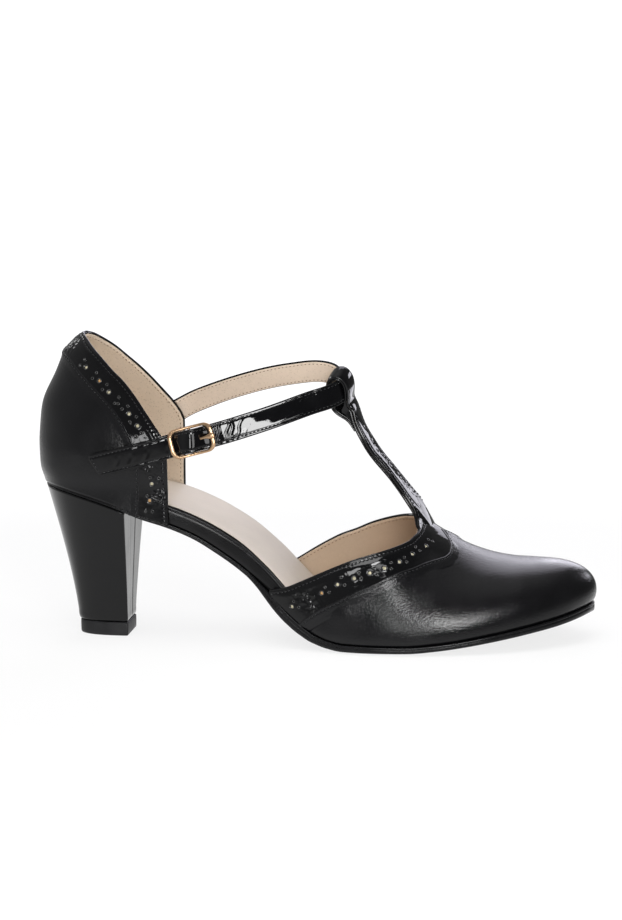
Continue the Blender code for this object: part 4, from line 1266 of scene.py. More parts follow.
def punched_trim(name, face, normal, holes, tones, pricks, puckers, seed, row=1.45):
    """A patent band from a grid of points: raised a little, with punched holes, their rims and the cream or tan
    leather seen in the large ones; row = how far the line of stitches lies from its first edge."""
    flat, flat_n = face.reshape(-1, 3), normal.reshape(-1, 3)
    at = lambda c: int(np.argmin(np.sum((flat - c) ** 2, -1)))
    ids = [at(c) for c in holes], [at(c) for c in pricks]
    out = 0.030 * ripple(face, 6.5, seed) + 0.010 * ripple(face, 2.6, seed + 1)
    for x, y, z, reach, high in zip(*(puckers[k] for k in ("x", "y", "z", "reach", "high"))):
        bent = face + 0.9 * np.stack([ripple(face, 4.3, seed + 5), ripple(face, 3.7, seed + 6), ripple(face, 4.9, seed + 7)], -1)
        out = out + high * bump_at(face, (x, y, z), reach) * (ripple(bent, 2.4, seed + 2) + 0.6 * ripple(bent, 1.3, seed + 3))
    # the stitches draw the edge down and leave it rolled
    across_way = np.concatenate([np.zeros((len(face), 1)), np.cumsum(np.linalg.norm(np.diff(face, axis=1), axis=-1), axis=1)], 1)
    along = np.concatenate([[0], np.cumsum(np.linalg.norm(np.diff(face[:, 4], axis=0), axis=1))])[:, None]
    full = np.clip(across_way[:, -1:] / 11.0, 0, 1)
    # between the stitches and the holes the band swells a little
    out = out + 0.17 * np.exp(-(((across_way - 3.4) / 1.5) ** 2)) * full
    groove = np.exp(-(((across_way - row) / 0.42) ** 2))
    out = out - groove * (0.12 + 0.08 * np.cos(2 * math.pi * along / 1.8)) - 0.20 * np.exp(-((across_way / 0.55) ** 2))
    sag = out
    for i in ids[0]:
        out = out + dip(face, flat[i], HOLE_WIDE, 0.85)
    for i in ids[1]:
        out = out + dip(face, flat[i], PRICK_WIDE, 0.7)
    rise = TRIM_FACE + out
    lifted = face + normal * rise[..., None]
    rims = [hoop(flat[i] + flat_n[i] * (TRIM_FACE + sag.ravel()[i] + 0.05), flat_n[i], HOLE_WIDE * 1.06, 0.19) for i in ids[0]]
    rims += [hoop(flat[i] + flat_n[i] * (TRIM_FACE + sag.ravel()[i] + 0.04), flat_n[i], PRICK_WIDE * 1.15, 0.17) for i in ids[1]]
    hoops(name + "_perforation_rims", rims, PUNCHED)
    for tone, mat, word in ((0, CREAM, "cream"), (1, TAN, "tan")):
        plugs = [disc_rings(flat[i] + flat_n[i] * (TRIM_FACE + sag.ravel()[i]), flat_n[i], HOLE_WIDE * 0.80, 0.40) for i, t in zip(ids[0], tones) if t == tone]
        joined(name + "_perforation_" + word, plugs, mat)
    across = fewer(face.shape[1], 9)
    band(name, lifted, (face - normal * 0.85)[:, across], PATENT)


def build_vamp_trim():
    t = np.linspace(0.0, 1.05, 54)
    xw = TOP_RAIL[:, None] + (SEAM_RAIL - TOP_RAIL)[:, None] * t[None, :, None]
    xw[..., 1] = np.clip(xw[..., 1], -1, 1)
    face = vamp_points(xw[..., 0], xw[..., 1])
    normal = vamp_normals(xw[..., 0], xw[..., 1])
    spots = lambda rows: np.array([vamp_points(x, side * (1 - r)) for side in (-1, 1) for x, r in zip(rows["x"], rows["rise"])])
    punched_trim("vamp_trim", face, normal, spots(VAMP_HOLES), np.tile(VAMP_HOLES["tone"], 2), spots(VAMP_PRICKS), VAMP_PUCKERS, 11)


build_vamp_trim()


def walk(rail, b, reach):
    """(x, w) reached by going from each point of the rail over the vamp in direction b, by its own reach in millimetres."""
    parts = 8
    x, w = rail[:, 0].copy(), rail[:, 1].copy()
    for _ in range(parts):
        jx, jw = vamp_slopes(x, w)
        n = unit(np.cross(jx, jw))
        d = unit(b - n * np.sum(b * n, -1)[:, None])
        a11, a12, a22 = np.sum(jx * jx, -1), np.sum(jx * jw, -1), np.sum(jw * jw, -1)
        r1, r2 = np.sum(jx * d, -1), np.sum(jw * d, -1)
        det = np.maximum(a11 * a22 - a12 * a12, 1e-9)
        x = x + reach / parts * (r1 * a22 - r2 * a12) / det
        w = np.clip(w + reach / parts * (a11 * r2 - a12 * r1) / det, -1, 1)
    return np.stack([x, w], 1)


def smooth_line(line, rounds):
    for _ in range(rounds):
        line = np.concatenate([line[:1], 0.25 * line[:-2] + 0.5 * line[1:-1] + 0.25 * line[2:], line[-1:]])
    return line


# folded edge of the plain leather over the trim: away = from the seam on the plain side, high = above the vamp's face
FOLD = table("""
away   high
-0.30  -0.30
-0.28  0.20
-0.12  0.52
0.15   0.64
0.50   0.62
0.90   0.46
1.20   0.44
1.60   0.46
2.40   0.32
3.40   0.14
4.40   0.00
5.60   -0.14
""")


def build_vamp_fold():
    keep = (SEAM_RAIL[:, 0] > 118.1)
    rail = smooth_line(SEAM_RAIL[keep], 6)
    line = vamp_points(*rail.T)
    n = vamp_normals(*rail.T)
    t = unit(np.gradient(smooth_line(line, 10), axis=0))
    b = unit(np.cross(n, t))
    if b[len(b) // 8, 2] > 0:
        b = -b
    near_peak = np.exp(-((np.arange(len(rail)) - len(rail) / 2) / 22.0) ** 2)
    rows = []
    for away, high in zip(FOLD["away"], FOLD["high"]):
        reach = away * (1 - 0.6 * near_peak) if away > 1.0 else np.full(len(rail), away)
        xw = walk(rail, b, reach)
        p, m = vamp_points(*xw.T), vamp_normals(*xw.T)
        wave = 0.05 * ripple(p, 7.0, 21) if away > 0 else np.zeros(len(p))
        rows.append(p + m * (high + wave)[:, None])
    outer = np.stack(rows, 1)
    inner = outer - n[:, None] * 0.6
    sheet("vamp_folded_edge", outer, inner, CALF)
    row = walk(rail, b, np.full(len(rail), 1.05))
    p, m = vamp_points(*row.T), vamp_normals(*row.T)
    joined("vamp_seam_stitches", stitch_rings(p + m * 0.47, m, long=1.35, thick=0.19, pitch=1.9), THREAD)


build_vamp_fold()


def binding(name, line, normal, edge_dir, half_thick, half_tall, mat, sides_count=14, deep=0.5, closed=False):
    """A rounded edge along a line: it covers the wall's thickness, deep is the middle of the wall below the face."""
    a = np.linspace(0, 2 * math.pi, sides_count + 1)[:-1]
    c, s = np.cos(a), np.sin(a)
    ring = np.stack([np.sign(c) * np.abs(c) ** 0.8, np.sign(s) * np.abs(s) ** 0.8], 1)
    middle = line - normal * deep
    rings = middle[:, None] + normal[:, None] * (ring[None, :, :1] * half_thick) + edge_dir[:, None] * (ring[None, :, 1:] * half_tall)
    return rods(name, rings, mat, closed)


def build_vamp_topline():
    rail = smooth_line(TOP_RAIL, 4)
    line, n = vamp_points(*rail.T), vamp_normals(*rail.T)
    t = unit(np.gradient(smooth_line(line, 8), axis=0))
    b = unit(np.cross(t, n))
    low = vamp_points(*(0.8 * rail + 0.2 * SEAM_RAIL).T)
    b = np.where((np.sum(b * (line - low), -1) < 0)[:, None], -b, b)
    binding("vamp_topline_edge", line + b * 0.05, n, b, 0.78, 0.42, PATENT)
    away = np.linalg.norm(line - SEAM_LINE, axis=1)[:, None]
    share = np.clip(1.45 / np.maximum(away, 3.0), 0, 0.5)
    row = rail + (SEAM_RAIL - rail) * share
    inset, m = vamp_points(*row.T), vamp_normals(*row.T)
    joined("vamp_topline_stitches", stitch_rings(inset + m * (TRIM_FACE - 0.06), m, long=1.3, thick=0.19, pitch=1.8), THREAD)
    row = rail + (SEAM_RAIL - rail) * share * 0.8
    inset, m = vamp_points(*row.T), vamp_normals(*row.T)
    joined("vamp_lining_stitches", stitch_rings(inset - m * (WALL + 0.03), -m, long=0.9, thick=0.16, pitch=1.8), PALE_THREAD)


build_vamp_topline()


# ================================================================ quarter
QUARTER_PLAN = quarter_plan(1601)
QUARTER_U = np.linspace(0, 1, len(QUARTER_PLAN))
QUARTER_TOP = np.array([quarter_top(p) for p in QUARTER_PLAN[::8]])
BACK_U = float(QUARTER_U[int(np.argmin(QUARTER_PLAN[:, 0]))])


def quarter_points(u, z):
    """The quarter's outer face: u from its outer front edge (0) round the back to its inner front edge (1)."""
    u, z = np.broadcast_arrays(np.asarray(u, float), np.asarray(z, float))
    px, py = np.interp(u, QUARTER_U, QUARTER_PLAN[:, 0]), np.interp(u, QUARTER_U, QUARTER_PLAN[:, 1])
    x = QUARTER_FRONT - (QUARTER_FRONT - px) * (QUARTER_FRONT - F_BACK(z)) / (QUARTER_FRONT - HEEL_BACK[0])
    return np.stack([x, py * F_WIDE(z), z], -1)


def quarter_normals(u, z):
    u, z = np.broadcast_arrays(np.asarray(u, float), np.asarray(z, float))
    a = quarter_points(np.minimum(u + 0.006, 1), z) - quarter_points(np.maximum(u - 0.006, 0), z)
    b = quarter_points(u, z + 0.3) - quarter_points(u, z - 0.3)
    n = unit(np.cross(a, b))
    mid = np.stack([np.full(u.shape, 45.0), np.zeros(u.shape), z], -1)
    return np.where((np.sum(n * (quarter_points(u, z) - mid), -1) < 0)[..., None], -n, n)


def collar_z(u):
    return np.interp(u, QUARTER_U[::8], QUARTER_TOP)


def quarter_foot(u):
    px, py = np.interp(u, QUARTER_U, QUARTER_PLAN[:, 0]), np.interp(u, QUARTER_U, QUARTER_PLAN[:, 1])
    return feather(px, py)


def quarter_u(x, z, side):
    """u of the point of the quarter's face at x and z on one side."""
    px = QUARTER_FRONT - (QUARTER_FRONT - np.asarray(x, float)) * (QUARTER_FRONT - HEEL_BACK[0]) / (QUARTER_FRONT - F_BACK(z))
    half = QUARTER_U <= BACK_U if side < 0 else QUARTER_U >= BACK_U
    xs, us = QUARTER_PLAN[half, 0], QUARTER_U[half]
    order = np.argsort(xs)
    return np.interp(px, xs[order], us[order])


# trim of the quarter: up its front edge and along the collar to the back; edge = x on the collar, or 61 on the
# front edge with its height up; seam and seam_z = the line where the plain leather begins
BAND = table("""
edge   up     seam   seam_z
61.0   52.0   47.6   56.0
61.0   60.0   47.7   62.0
61.0   70.0   48.1   70.0
61.0   78.0   48.3   77.5
59.8   0      47.2   84.0
57.4   0      45.0   90.2
53.0   0      42.0   95.8
47.5   0      38.1   101.6
41.0   0      31.9   107.8
34.0   0      25.4   113.6
28.0   0      19.4   119.2
24.0   0      14.9   123.2
21.0   0      12.5   125.9
""")


def band_rails(side, count=700):
    k = np.arange(len(BAND["edge"]), dtype=float)
    t = np.linspace(0, k[-1], count)
    end = 0.0 if side < 0 else 1.0
    front = BAND["edge"] > 60.5
    f_collar = F_COLLAR_OUTER if side < 0 else F_COLLAR_INNER
    out_u = np.where(front, end, quarter_u(np.minimum(BAND["edge"], 60.0), f_collar(BAND["edge"]), side))
    out_u[-1] = BACK_U
    in_u = quarter_u(BAND["seam"], BAND["seam_z"], side)
    in_u[-1] = BACK_U
    seam_z = BAND["seam_z"] + (0 if side < 0 else 0.8)
    u_edge = steady(k, out_u)(t)
    up = steady(k[:5], np.concatenate([BAND["up"][:4], [float(collar_z(out_u[4]))]]))(t)
    z_edge = np.where(t < 4, up, collar_z(u_edge))
    return np.stack([u_edge, z_edge], 1), np.stack([steady(k, in_u)(t), steady(k, seam_z)(t)], 1)


def band_rail_pair():
    a_out, a_in = band_rails(-1)
    b_out, b_in = band_rails(1)
    out, inn = np.concatenate([a_out, b_out[::-1][1:]]), np.concatenate([a_in, b_in[::-1][1:]])
    mid = quarter_points(*(0.5 * (out + inn)).T)
    s = np.concatenate([[0], np.cumsum(np.linalg.norm(np.diff(mid, axis=0), axis=1))])
    u = np.linspace(0, s[-1], 860)
    again = lambda a: np.stack([np.interp(u, s, a[:, i]) for i in range(2)], 1)
    out, inn = again(out), again(inn)
    return smooth_line(out, 3), smooth_line(inn, 12)


EDGE_RAIL, BAND_SEAM = band_rail_pair()
BAND_SEAM_LINE = quarter_points(*BAND_SEAM.T)

# soft dents of the quarter leather: place, reach and height; the tail of the strap presses the leather beside its end
HEEL_DENTS = table("""
x     y      z     reach  high
25.0  -28.0  86.5  3.6    -0.20
20.5  -26.5  84.0  4.0    0.25
14.0  -24.0  72.5  6.0    -0.30
34.0  -28.5  70.0  6.0    -0.25
6.0   16.0   84.0  8.0    -0.20
""")


def build_quarter():
    un, zn = 260, 76
    u = np.linspace(0, 1, un)[:, None]
    z0, z1 = quarter_foot(u), collar_z(u)
    z = z0 + (z1 - z0) * np.linspace(0, 1, zn)[None]
    uu = np.broadcast_to(u, z.shape)
    p, n = quarter_points(uu, z), quarter_normals(uu, z)
    flat = p.reshape(-1, 3)
    away = np.empty(len(flat))
    for i in range(0, len(flat), 2000):
        d = flat[i : i + 2000, None] - BAND_SEAM_LINE[None, ::3]
        away[i : i + 2000] = np.sqrt(np.min(np.sum(d * d, -1), 1))
    ring = np.concatenate([BAND_SEAM, [[BAND_SEAM[-1, 0], 0.0], [BAND_SEAM[0, 0], 0.0]]])
    plain = inside_polygon(np.stack([uu.ravel(), z.ravel()], 1), ring)
    signed = np.where(plain, -away, away).reshape(z.shape)
    bed = np.clip((signed - 0.1) / 0.9, 0, 1)
    lift = 0.04 * ripple(p, 18.0, 7)
    for x, y, zz, reach, high in zip(*(HEEL_DENTS[k] for k in ("x", "y", "z", "reach", "high"))):
        lift = lift + high * bump_at(p, (x, y, zz), reach)
    lift = lift * (1 - bed) + TRIM_BED * bed * bed * (3 - 2 * bed)
    skin = sheet("quarter_leather", p + n * lift[..., None], p + n * (lift - 0.5)[..., None], CALF)
    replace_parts(skin, "quarter")
    i, j = np.ix_(fewer(un, 140), fewer(zn, 40))
    sheet("quarter_lining", (p - n * 1.25)[i, j], (p - n * (WALL + 0.02))[i, j], LINING)


build_quarter()

# perforations of the quarter's trim on the outer side, large and small; the inner side repeats them
BAND_HOLES = table("""
x     z      tone
23.8  119.9  0
30.1  114.5  1
34.5  110.0  0
43.8  101.1  0
47.8  96.0   0
53.6  70.8   0
52.7  63.5   1
""")
BAND_PRICKS = table("""
x     z
22.9  122.9
20.9  120.5
28.8  117.8
27.0  115.5
33.6  113.0
31.6  110.9
39.1  107.8
38.9  105.2
37.4  105.3
43.3  104.3
40.8  102.9
47.2  99.7
44.6  97.7
49.7  93.1
47.4  91.7
53.1  73.6
56.8  73.5
51.6  65.7
54.8  64.9
50.8  59.0
53.6  58.8
""")
BAND_PUCKERS = table("""
x     y      z     reach  high
56.8  -27.6  66.0  2.6    0.22
58.0  -27.3  64.0  2.0    0.18
52.4  -28.8  78.7  2.4    0.14
55.9  -28.1  71.8  2.2    0.16
14.5  -6.0   125.5 3.0    0.20
17.0  -8.0   129.0 2.2    0.16
""")


def build_band():
    t = np.linspace(0.0, 1.05, 56)
    uz = EDGE_RAIL[:, None] + (BAND_SEAM - EDGE_RAIL)[:, None] * t[None, :, None]
    uz[..., 0] = np.clip(uz[..., 0], 0, 1)
    uz[..., 1] = np.maximum(uz[..., 1], quarter_foot(uz[..., 0]))
    face, normal = quarter_points(uz[..., 0], uz[..., 1]), quarter_normals(uz[..., 0], uz[..., 1])

    def spots(rows):
        found = []
        for side in (-1, 1):
            up = rows["z"] + (0 if side < 0 else 0.9)
            found.append(quarter_points(quarter_u(rows["x"], up, side), up))
        return np.concatenate(found)

    punched_trim("quarter_trim", face, normal, spots(BAND_HOLES), np.tile(BAND_HOLES["tone"], 2), spots(BAND_PRICKS), BAND_PUCKERS, 31)


build_band()


def build_band_edges():
    line, n = quarter_points(*EDGE_RAIL.T), quarter_normals(*EDGE_RAIL.T)
    t = unit(np.gradient(smooth_line(line, 6), axis=0))
    b = unit(np.cross(t, n))
    low = quarter_points(*(0.8 * EDGE_RAIL + 0.2 * BAND_SEAM).T)
    b = np.where((np.sum(b * (line - low), -1) < 0)[:, None], -b, b)
    binding("quarter_collar_edge", line + b * 0.05, n, b, 0.78, 0.42, PATENT)
    away = np.linalg.norm(line - BAND_SEAM_LINE, axis=1)[:, None]
    share = np.clip(1.45 / np.maximum(away, 3.0), 0, 0.5)
    for part, mat, slot, high, long, thick, way in (("quarter_collar_stitches", THREAD, "black_patent", TRIM_FACE - 0.06, 1.3, 0.19, 1), ("quarter_lining_stitches", PALE_THREAD, "lining_leather", -WALL - 0.03, 0.9, 0.16, -1)):
        rail = EDGE_RAIL + (BAND_SEAM - EDGE_RAIL) * share * (1.0 if way > 0 else 0.8)
        p, m = quarter_points(*rail.T), quarter_normals(*rail.T)
        keep = p[:, 2] > quarter_foot(rail[:, 0]) + 1.0
        joined(part, stitch_rings((p + m * high)[keep], way * m[keep], long=long, thick=thick, pitch=1.8), mat)
    # folded edge of the plain leather along the band
    seam = BAND_SEAM
    sp, sn = quarter_points(*seam.T), quarter_normals(*seam.T)
    st = unit(np.gradient(smooth_line(sp, 8), axis=0))
    sb = unit(np.cross(st, sn))
    sb = np.where((np.sum(sb * (sp - quarter_points(*(0.9 * seam + 0.1 * EDGE_RAIL).T)), -1) < 0)[:, None], -sb, sb)
    rows = []
    for away, high in zip(FOLD["away"], FOLD["high"]):
        q = sp + sb * away * 0.8
        zz = q[:, 2]
        half = np.where(np.arange(len(q)) < len(q) / 2, -1, 1)
        uu = np.where(half < 0, quarter_u(q[:, 0], zz, -1), quarter_u(q[:, 0], zz, 1))
        near = np.abs(uu - BACK_U) < 0.06
        uu = np.where(near, seam[:, 0], uu)
        g, gn = quarter_points(uu, zz), quarter_normals(uu, zz)
        rows.append(g + gn * (high * 0.85))
    outer = np.stack(rows, 1)
    ok = outer[:, 0, 2] > quarter_foot(seam[:, 0]) - 0.2
    outer, inner = outer[ok], (outer - sn[:, None] * 0.6)[ok]
    sheet("quarter_folded_edge", outer, inner, CALF)
    joined("quarter_seam_stitches", stitch_rings(outer[:, 6] + sn[ok] * 0.04, sn[ok], long=1.35, thick=0.19, pitch=1.9), THREAD)


build_band_edges()


# ================================================================ straps
def eased(half, top, bottom, ease, lanes=25, turn=5, low=9):
    """Section of a strap as (across, height) pairs with round edges; the first lanes points are its face."""
    pts = [(a, top) for a in np.linspace(-half + ease, half - ease, lanes)]
    tall = min(ease, (top - bottom) / 2)
    corner = [(math.sin(a), math.cos(a)) for a in np.linspace(0, math.pi / 2, turn + 1)]
    pts += [(half - ease + ease * s, top - tall + tall * c) for s, c in corner[1:]]
    pts += [(half - ease + ease * s, bottom + tall - tall * c) for s, c in corner[::-1][:-1]]
    pts += [(a, bottom) for a in np.linspace(half - ease, -half + ease, low)]
    pts += [(-half + ease - ease * s, bottom + tall - tall * c) for s, c in corner[1:]]
    pts += [(-half + ease - ease * s, top - tall + tall * c) for s, c in corner[::-1][:-1]]
    return np.array(pts)


def strap_rings(line, out, wid, half, top, bottom, ease, lift=None, bend=None, lanes=25):
    """Rings of points along a strap. lift(points, across) raises its face; bend is its curve across."""
    n = len(line)
    half, top, bottom = (np.broadcast_to(np.asarray(v, float), n) for v in (half, top, bottom))
    sec = np.array([eased(half[i], top[i], bottom[i], min(ease, 0.49 * (top[i] - bottom[i])), lanes) for i in range(n)])
    a, h = sec[..., 0], sec[..., 1]
    if bend is not None:
        h = h - 0.5 * bend[:, None] * a * a
    pts = line[:, None] + wid[:, None] * a[..., None] + out[:, None] * h[..., None]
    if lift is not None:
        share = np.clip((sec[..., 1] - bottom[:, None]) / (top - bottom)[:, None], 0, 1) ** 2
        pts = pts + out[:, None] * (lift(pts, a) * share)[..., None]
    return pts


STRAP_HALF = STRAP_WIDE / 2
S_LINE, S_TAN, S_OUT, S_WID = ankle_line(520)
# on its outer side towards the loop the strap's face leans back a little more
S_LEAN = np.radians(np.interp(S_LINE[:, 0], [91.0, 97.0, 101.0, 104.0, 108.0, 118.0], [1.6, 0.3, -0.8, -1.8, -1.8, 0.0])) * (S_LINE[:, 1] < -8.0)
S_OUT, S_WID = S_OUT * np.cos(S_LEAN)[:, None] - S_WID * np.sin(S_LEAN)[:, None], S_WID * np.cos(S_LEAN)[:, None] + S_OUT * np.sin(S_LEAN)[:, None]
S_LONG = np.concatenate([[0], np.cumsum(np.linalg.norm(np.diff(S_LINE, axis=0), axis=1))])

# creases across the ankle strap where it bends into the buckle: place by x on the outer side, slant and depth
CREASES = table("""
x      slant  half  deep
80.3   0.10   0.40  0.20
81.3   0.06   0.35  -0.20
82.1   0.10   0.35  0.18
83.1   0.05   0.45  -0.30
86.7   0.16   0.40  -0.24
88.6   0.02   0.38  -0.22
91.8   0.22   0.45  -0.14
95.4   0.35   0.90  -0.06
62.4   0.10   0.90  -0.25
66.4   -0.1   0.80  0.22
52.5   0.25   0.90  -0.22
46.0   0.15   1.00  0.18
39.5   0.20   0.90  -0.18
""")


def strap_lift(points, a):
    """Shape of the ankle strap's face: its slight crown, the pull of the stitches and its creases."""
    h = 0.14 * (1 - (a / STRAP_HALF) ** 2)
    h = h - 0.13 * np.exp(-(((np.abs(a) - (STRAP_HALF - 1.30)) / 0.40) ** 2))
    outer = points[..., 1] < -8.0
    for x, slant, half, deep in zip(CREASES["x"], CREASES["slant"], CREASES["half"], CREASES["deep"]):
        across_part = np.clip(1.15 - (np.abs(a) / STRAP_HALF) ** 4, 0, 1)
        h = h + np.where(outer, deep * across_part * np.exp(-(((points[..., 0] - x - slant * a - 0.35 * np.sin(a * 1.1 + x)) / half) ** 2)), 0)
    wave = 0.04 * ripple(points, 6.5, 41) + 0.014 * ripple(points, 2.6, 42)
    near = np.where(outer & (points[..., 0] < 94), 0.55, 0.4)
    return h + wave * near


def tail_end(rings, a):
    """Cuts the tip of the tail aslant, its lower corner set back."""
    n = len(rings)
    left = (S_LONG[-1] - S_LONG)[:, None]
    e = np.clip(1 - left / 9.0, 0, 1)
    back = np.clip((STRAP_HALF - a) / STRAP_WIDE, 0, 1) ** 1.4 * 3.4 + 0.9 * np.clip((np.abs(a) - 3.2) / 1.9, 0, 1) ** 2
    return rings - S_TAN[:, None] * (e * e * back)[..., None]


def build_ankle_strap():
    sec = eased(STRAP_HALF, 0.95, -0.25, 0.55)
    rings = strap_rings(S_LINE, S_OUT, S_WID, STRAP_HALF, 0.95, -0.25, 0.55, strap_lift)
    a = np.broadcast_to(sec[:, 0], rings.shape[:2])
    rings = tail_end(rings, a)
    strap = rods("ankle_strap_patent", rings, STRAP_PATENT)
    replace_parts(strap, "ankle_strap")
    half = STRAP_HALF - 0.55
    sec = eased(half, -0.2, -0.95, 0.3, 13)
    under = strap_rings(S_LINE, S_OUT, S_WID, half, -0.2, -0.95, 0.3, None, None, 13)
    under = tail_end(under, np.broadcast_to(sec[:, 0], under.shape[:2]))
    keep = slice(6, -6)
    rods("ankle_strap_lining", under[keep][fewer(len(under) - 12, 300)], STRAP_LINING)
    rows, inside = [], []
    first = 8
    tip = int(np.searchsorted(S_LONG, S_LONG[-1] - 1.35))
    off = STRAP_HALF - 1.30
    path = [(i, off) for i in range(first, tip)] + [(tip, b) for b in np.linspace(off, -off, 24)] + [(i, -off) for i in range(tip - 1, first, -1)]
    ids, side = np.array([i for i, _ in path]), np.array([b for _, b in path])
    p = S_LINE[ids] + S_WID[ids] * side[:, None]
    lift = strap_lift((p + S_OUT[ids] * 0.95)[:, None], side[:, None])[:, 0]
    p = p + S_OUT[ids] * (0.96 + lift)[:, None]
    left = S_LONG[-1] - S_LONG[ids]
    e = np.clip(1 - left / 9.0, 0, 1)
    back = np.clip((STRAP_HALF - side) / STRAP_WIDE, 0, 1) ** 1.4 * 3.4 + 0.9 * np.clip((np.abs(side) - 3.2) / 1.9, 0, 1) ** 2
    p = p - S_TAN[ids] * (e * e * back)[:, None]
    rows += stitch_rings(p, S_OUT[ids], long=1.25, thick=0.20, pitch=1.8)
    body = slice(first, len(S_LINE) - 14)
    for way in (-1, 1):
        inside += stitch_rings((S_LINE + S_WID * way * (STRAP_HALF - 1.35) - S_OUT * 0.95)[body], -S_OUT[body], long=0.95, thick=0.15, pitch=1.85, sink=0.06)
    joined("ankle_strap_stitches", rows, THREAD)
    joined("ankle_strap_lining_stitches", inside, PALE_THREAD)


build_ankle_strap()

T_LINE, T_TAN, T_OUT, T_WID, T_WIDE, T_THICK, T_BEND = tbar_line(300)


def vamp_height(x, y):
    """Height of the vamp's face over a point of its plan, near the ridge."""
    side = np.where(y < F_OFF(x), OUTER(x), INNER(x))
    low = feather(x, side)
    full = F_FULL(x)
    c = np.clip(np.abs(y - F_OFF(x)) / (np.abs(side - F_OFF(x)) + TOE_BULGE), 0, 0.999)
    return low + (F_RIDGE(x) - low) * (1 - c**full) ** (1 / full)


def onto_vamp(points, a, above):
    """Lets the T-bar's base run out into the trim of the vamp: above = height over the vamp's face there."""
    x = points[..., 0]
    e = np.clip((x - 165.5 + 1.15 * np.maximum(np.abs(a) - 5.3, 0)) / 9.0, 0, 1)
    e = e * e * (3 - 2 * e)
    goal = vamp_height(x, points[..., 1]) + 1.25 * above
    out = points.copy()
    out[..., 2] = points[..., 2] * (1 - e) + goal * e
    return out


# slight buckles of the T-bar's face near its base: place by height, across, reach and depth
DIMPLES = table("""
z     across  reach  deep
54.6  -2.6    0.8    -0.12
56.4  0.9     0.6    -0.10
58.9  -1.7    0.6    -0.12
60.1  1.9     0.9    -0.12
62.9  0.3     0.5    -0.12
64.2  2.7     0.8    -0.14
67.3  1.2     0.6    -0.12
68.1  -0.9    0.5    -0.10
71.6  0.4     0.6    -0.12
75.9  -0.6    0.6    -0.12
77.0  1.3     0.5    -0.10
82.4  -0.9    0.6    -0.12
87.1  0.2     0.6    -0.10
""")


def tbar_lift(points, a):
    half = 5.2
    crown = np.interp(points[..., 2], [50.0, 60.0, 78.0, 95.0], [0.10, 0.20, 0.40, 0.45])
    h = crown * (1 - np.clip(np.abs(a) / half, 0, 1) ** 2.2)
    h = h - 0.13 * np.exp(-(((np.abs(a) - (half - 1.25)) / 0.40) ** 2))
    front = np.clip((points[..., 0] - 138.0) / 2.0, 0, 1) * np.clip((170.0 - points[..., 0]) / 4.0, 0, 1)
    for z, off, reach, deep in zip(*(DIMPLES[k] for k in ("z", "across", "reach", "deep"))):
        h = h + front * deep * np.exp(-((points[..., 2] - z) ** 2 + (a - off) ** 2) / reach**2)
    # towards the inner side the patent is crumpled
    bent = points + 0.5 * np.stack([ripple(points, 3.1, 53), ripple(points, 2.7, 54), ripple(points, 3.4, 55)], -1)
    crumple = np.clip((a + 1.8) / 1.6, 0, 1) * np.clip((half - 0.9 - np.abs(a)) / 0.6, 0, 1) * front
    return h + 0.03 * ripple(points, 7.0, 51) + 0.008 * ripple(points, 2.6, 52) + crumple * (0.045 * ripple(bent, 2.3, 56) + 0.022 * ripple(bent, 1.2, 57))


# how much the T-bar widens at its base, on each side, by x
FLARE = table("""
x      more
100.0  0.0
160.5  0.0
163.0  0.25
165.0  0.8
166.4  1.7
167.4  3.2
168.2  5.6
169.0  7.4
171.0  8.0
180.0  8.0
""")


# the T-bar widens further towards the inner side at its base, by x
INNER_FLARE = table("""
x      more
100.0  0.0
160.0  0.0
163.0  0.15
164.5  0.5
166.0  1.2
167.5  2.2
169.0  2.8
180.0  2.8
""")
LOOP_WAY = np.array([0.19, 0.89, 0.42]) / np.linalg.norm([0.19, 0.89, 0.42])     # along the strap inside the loop


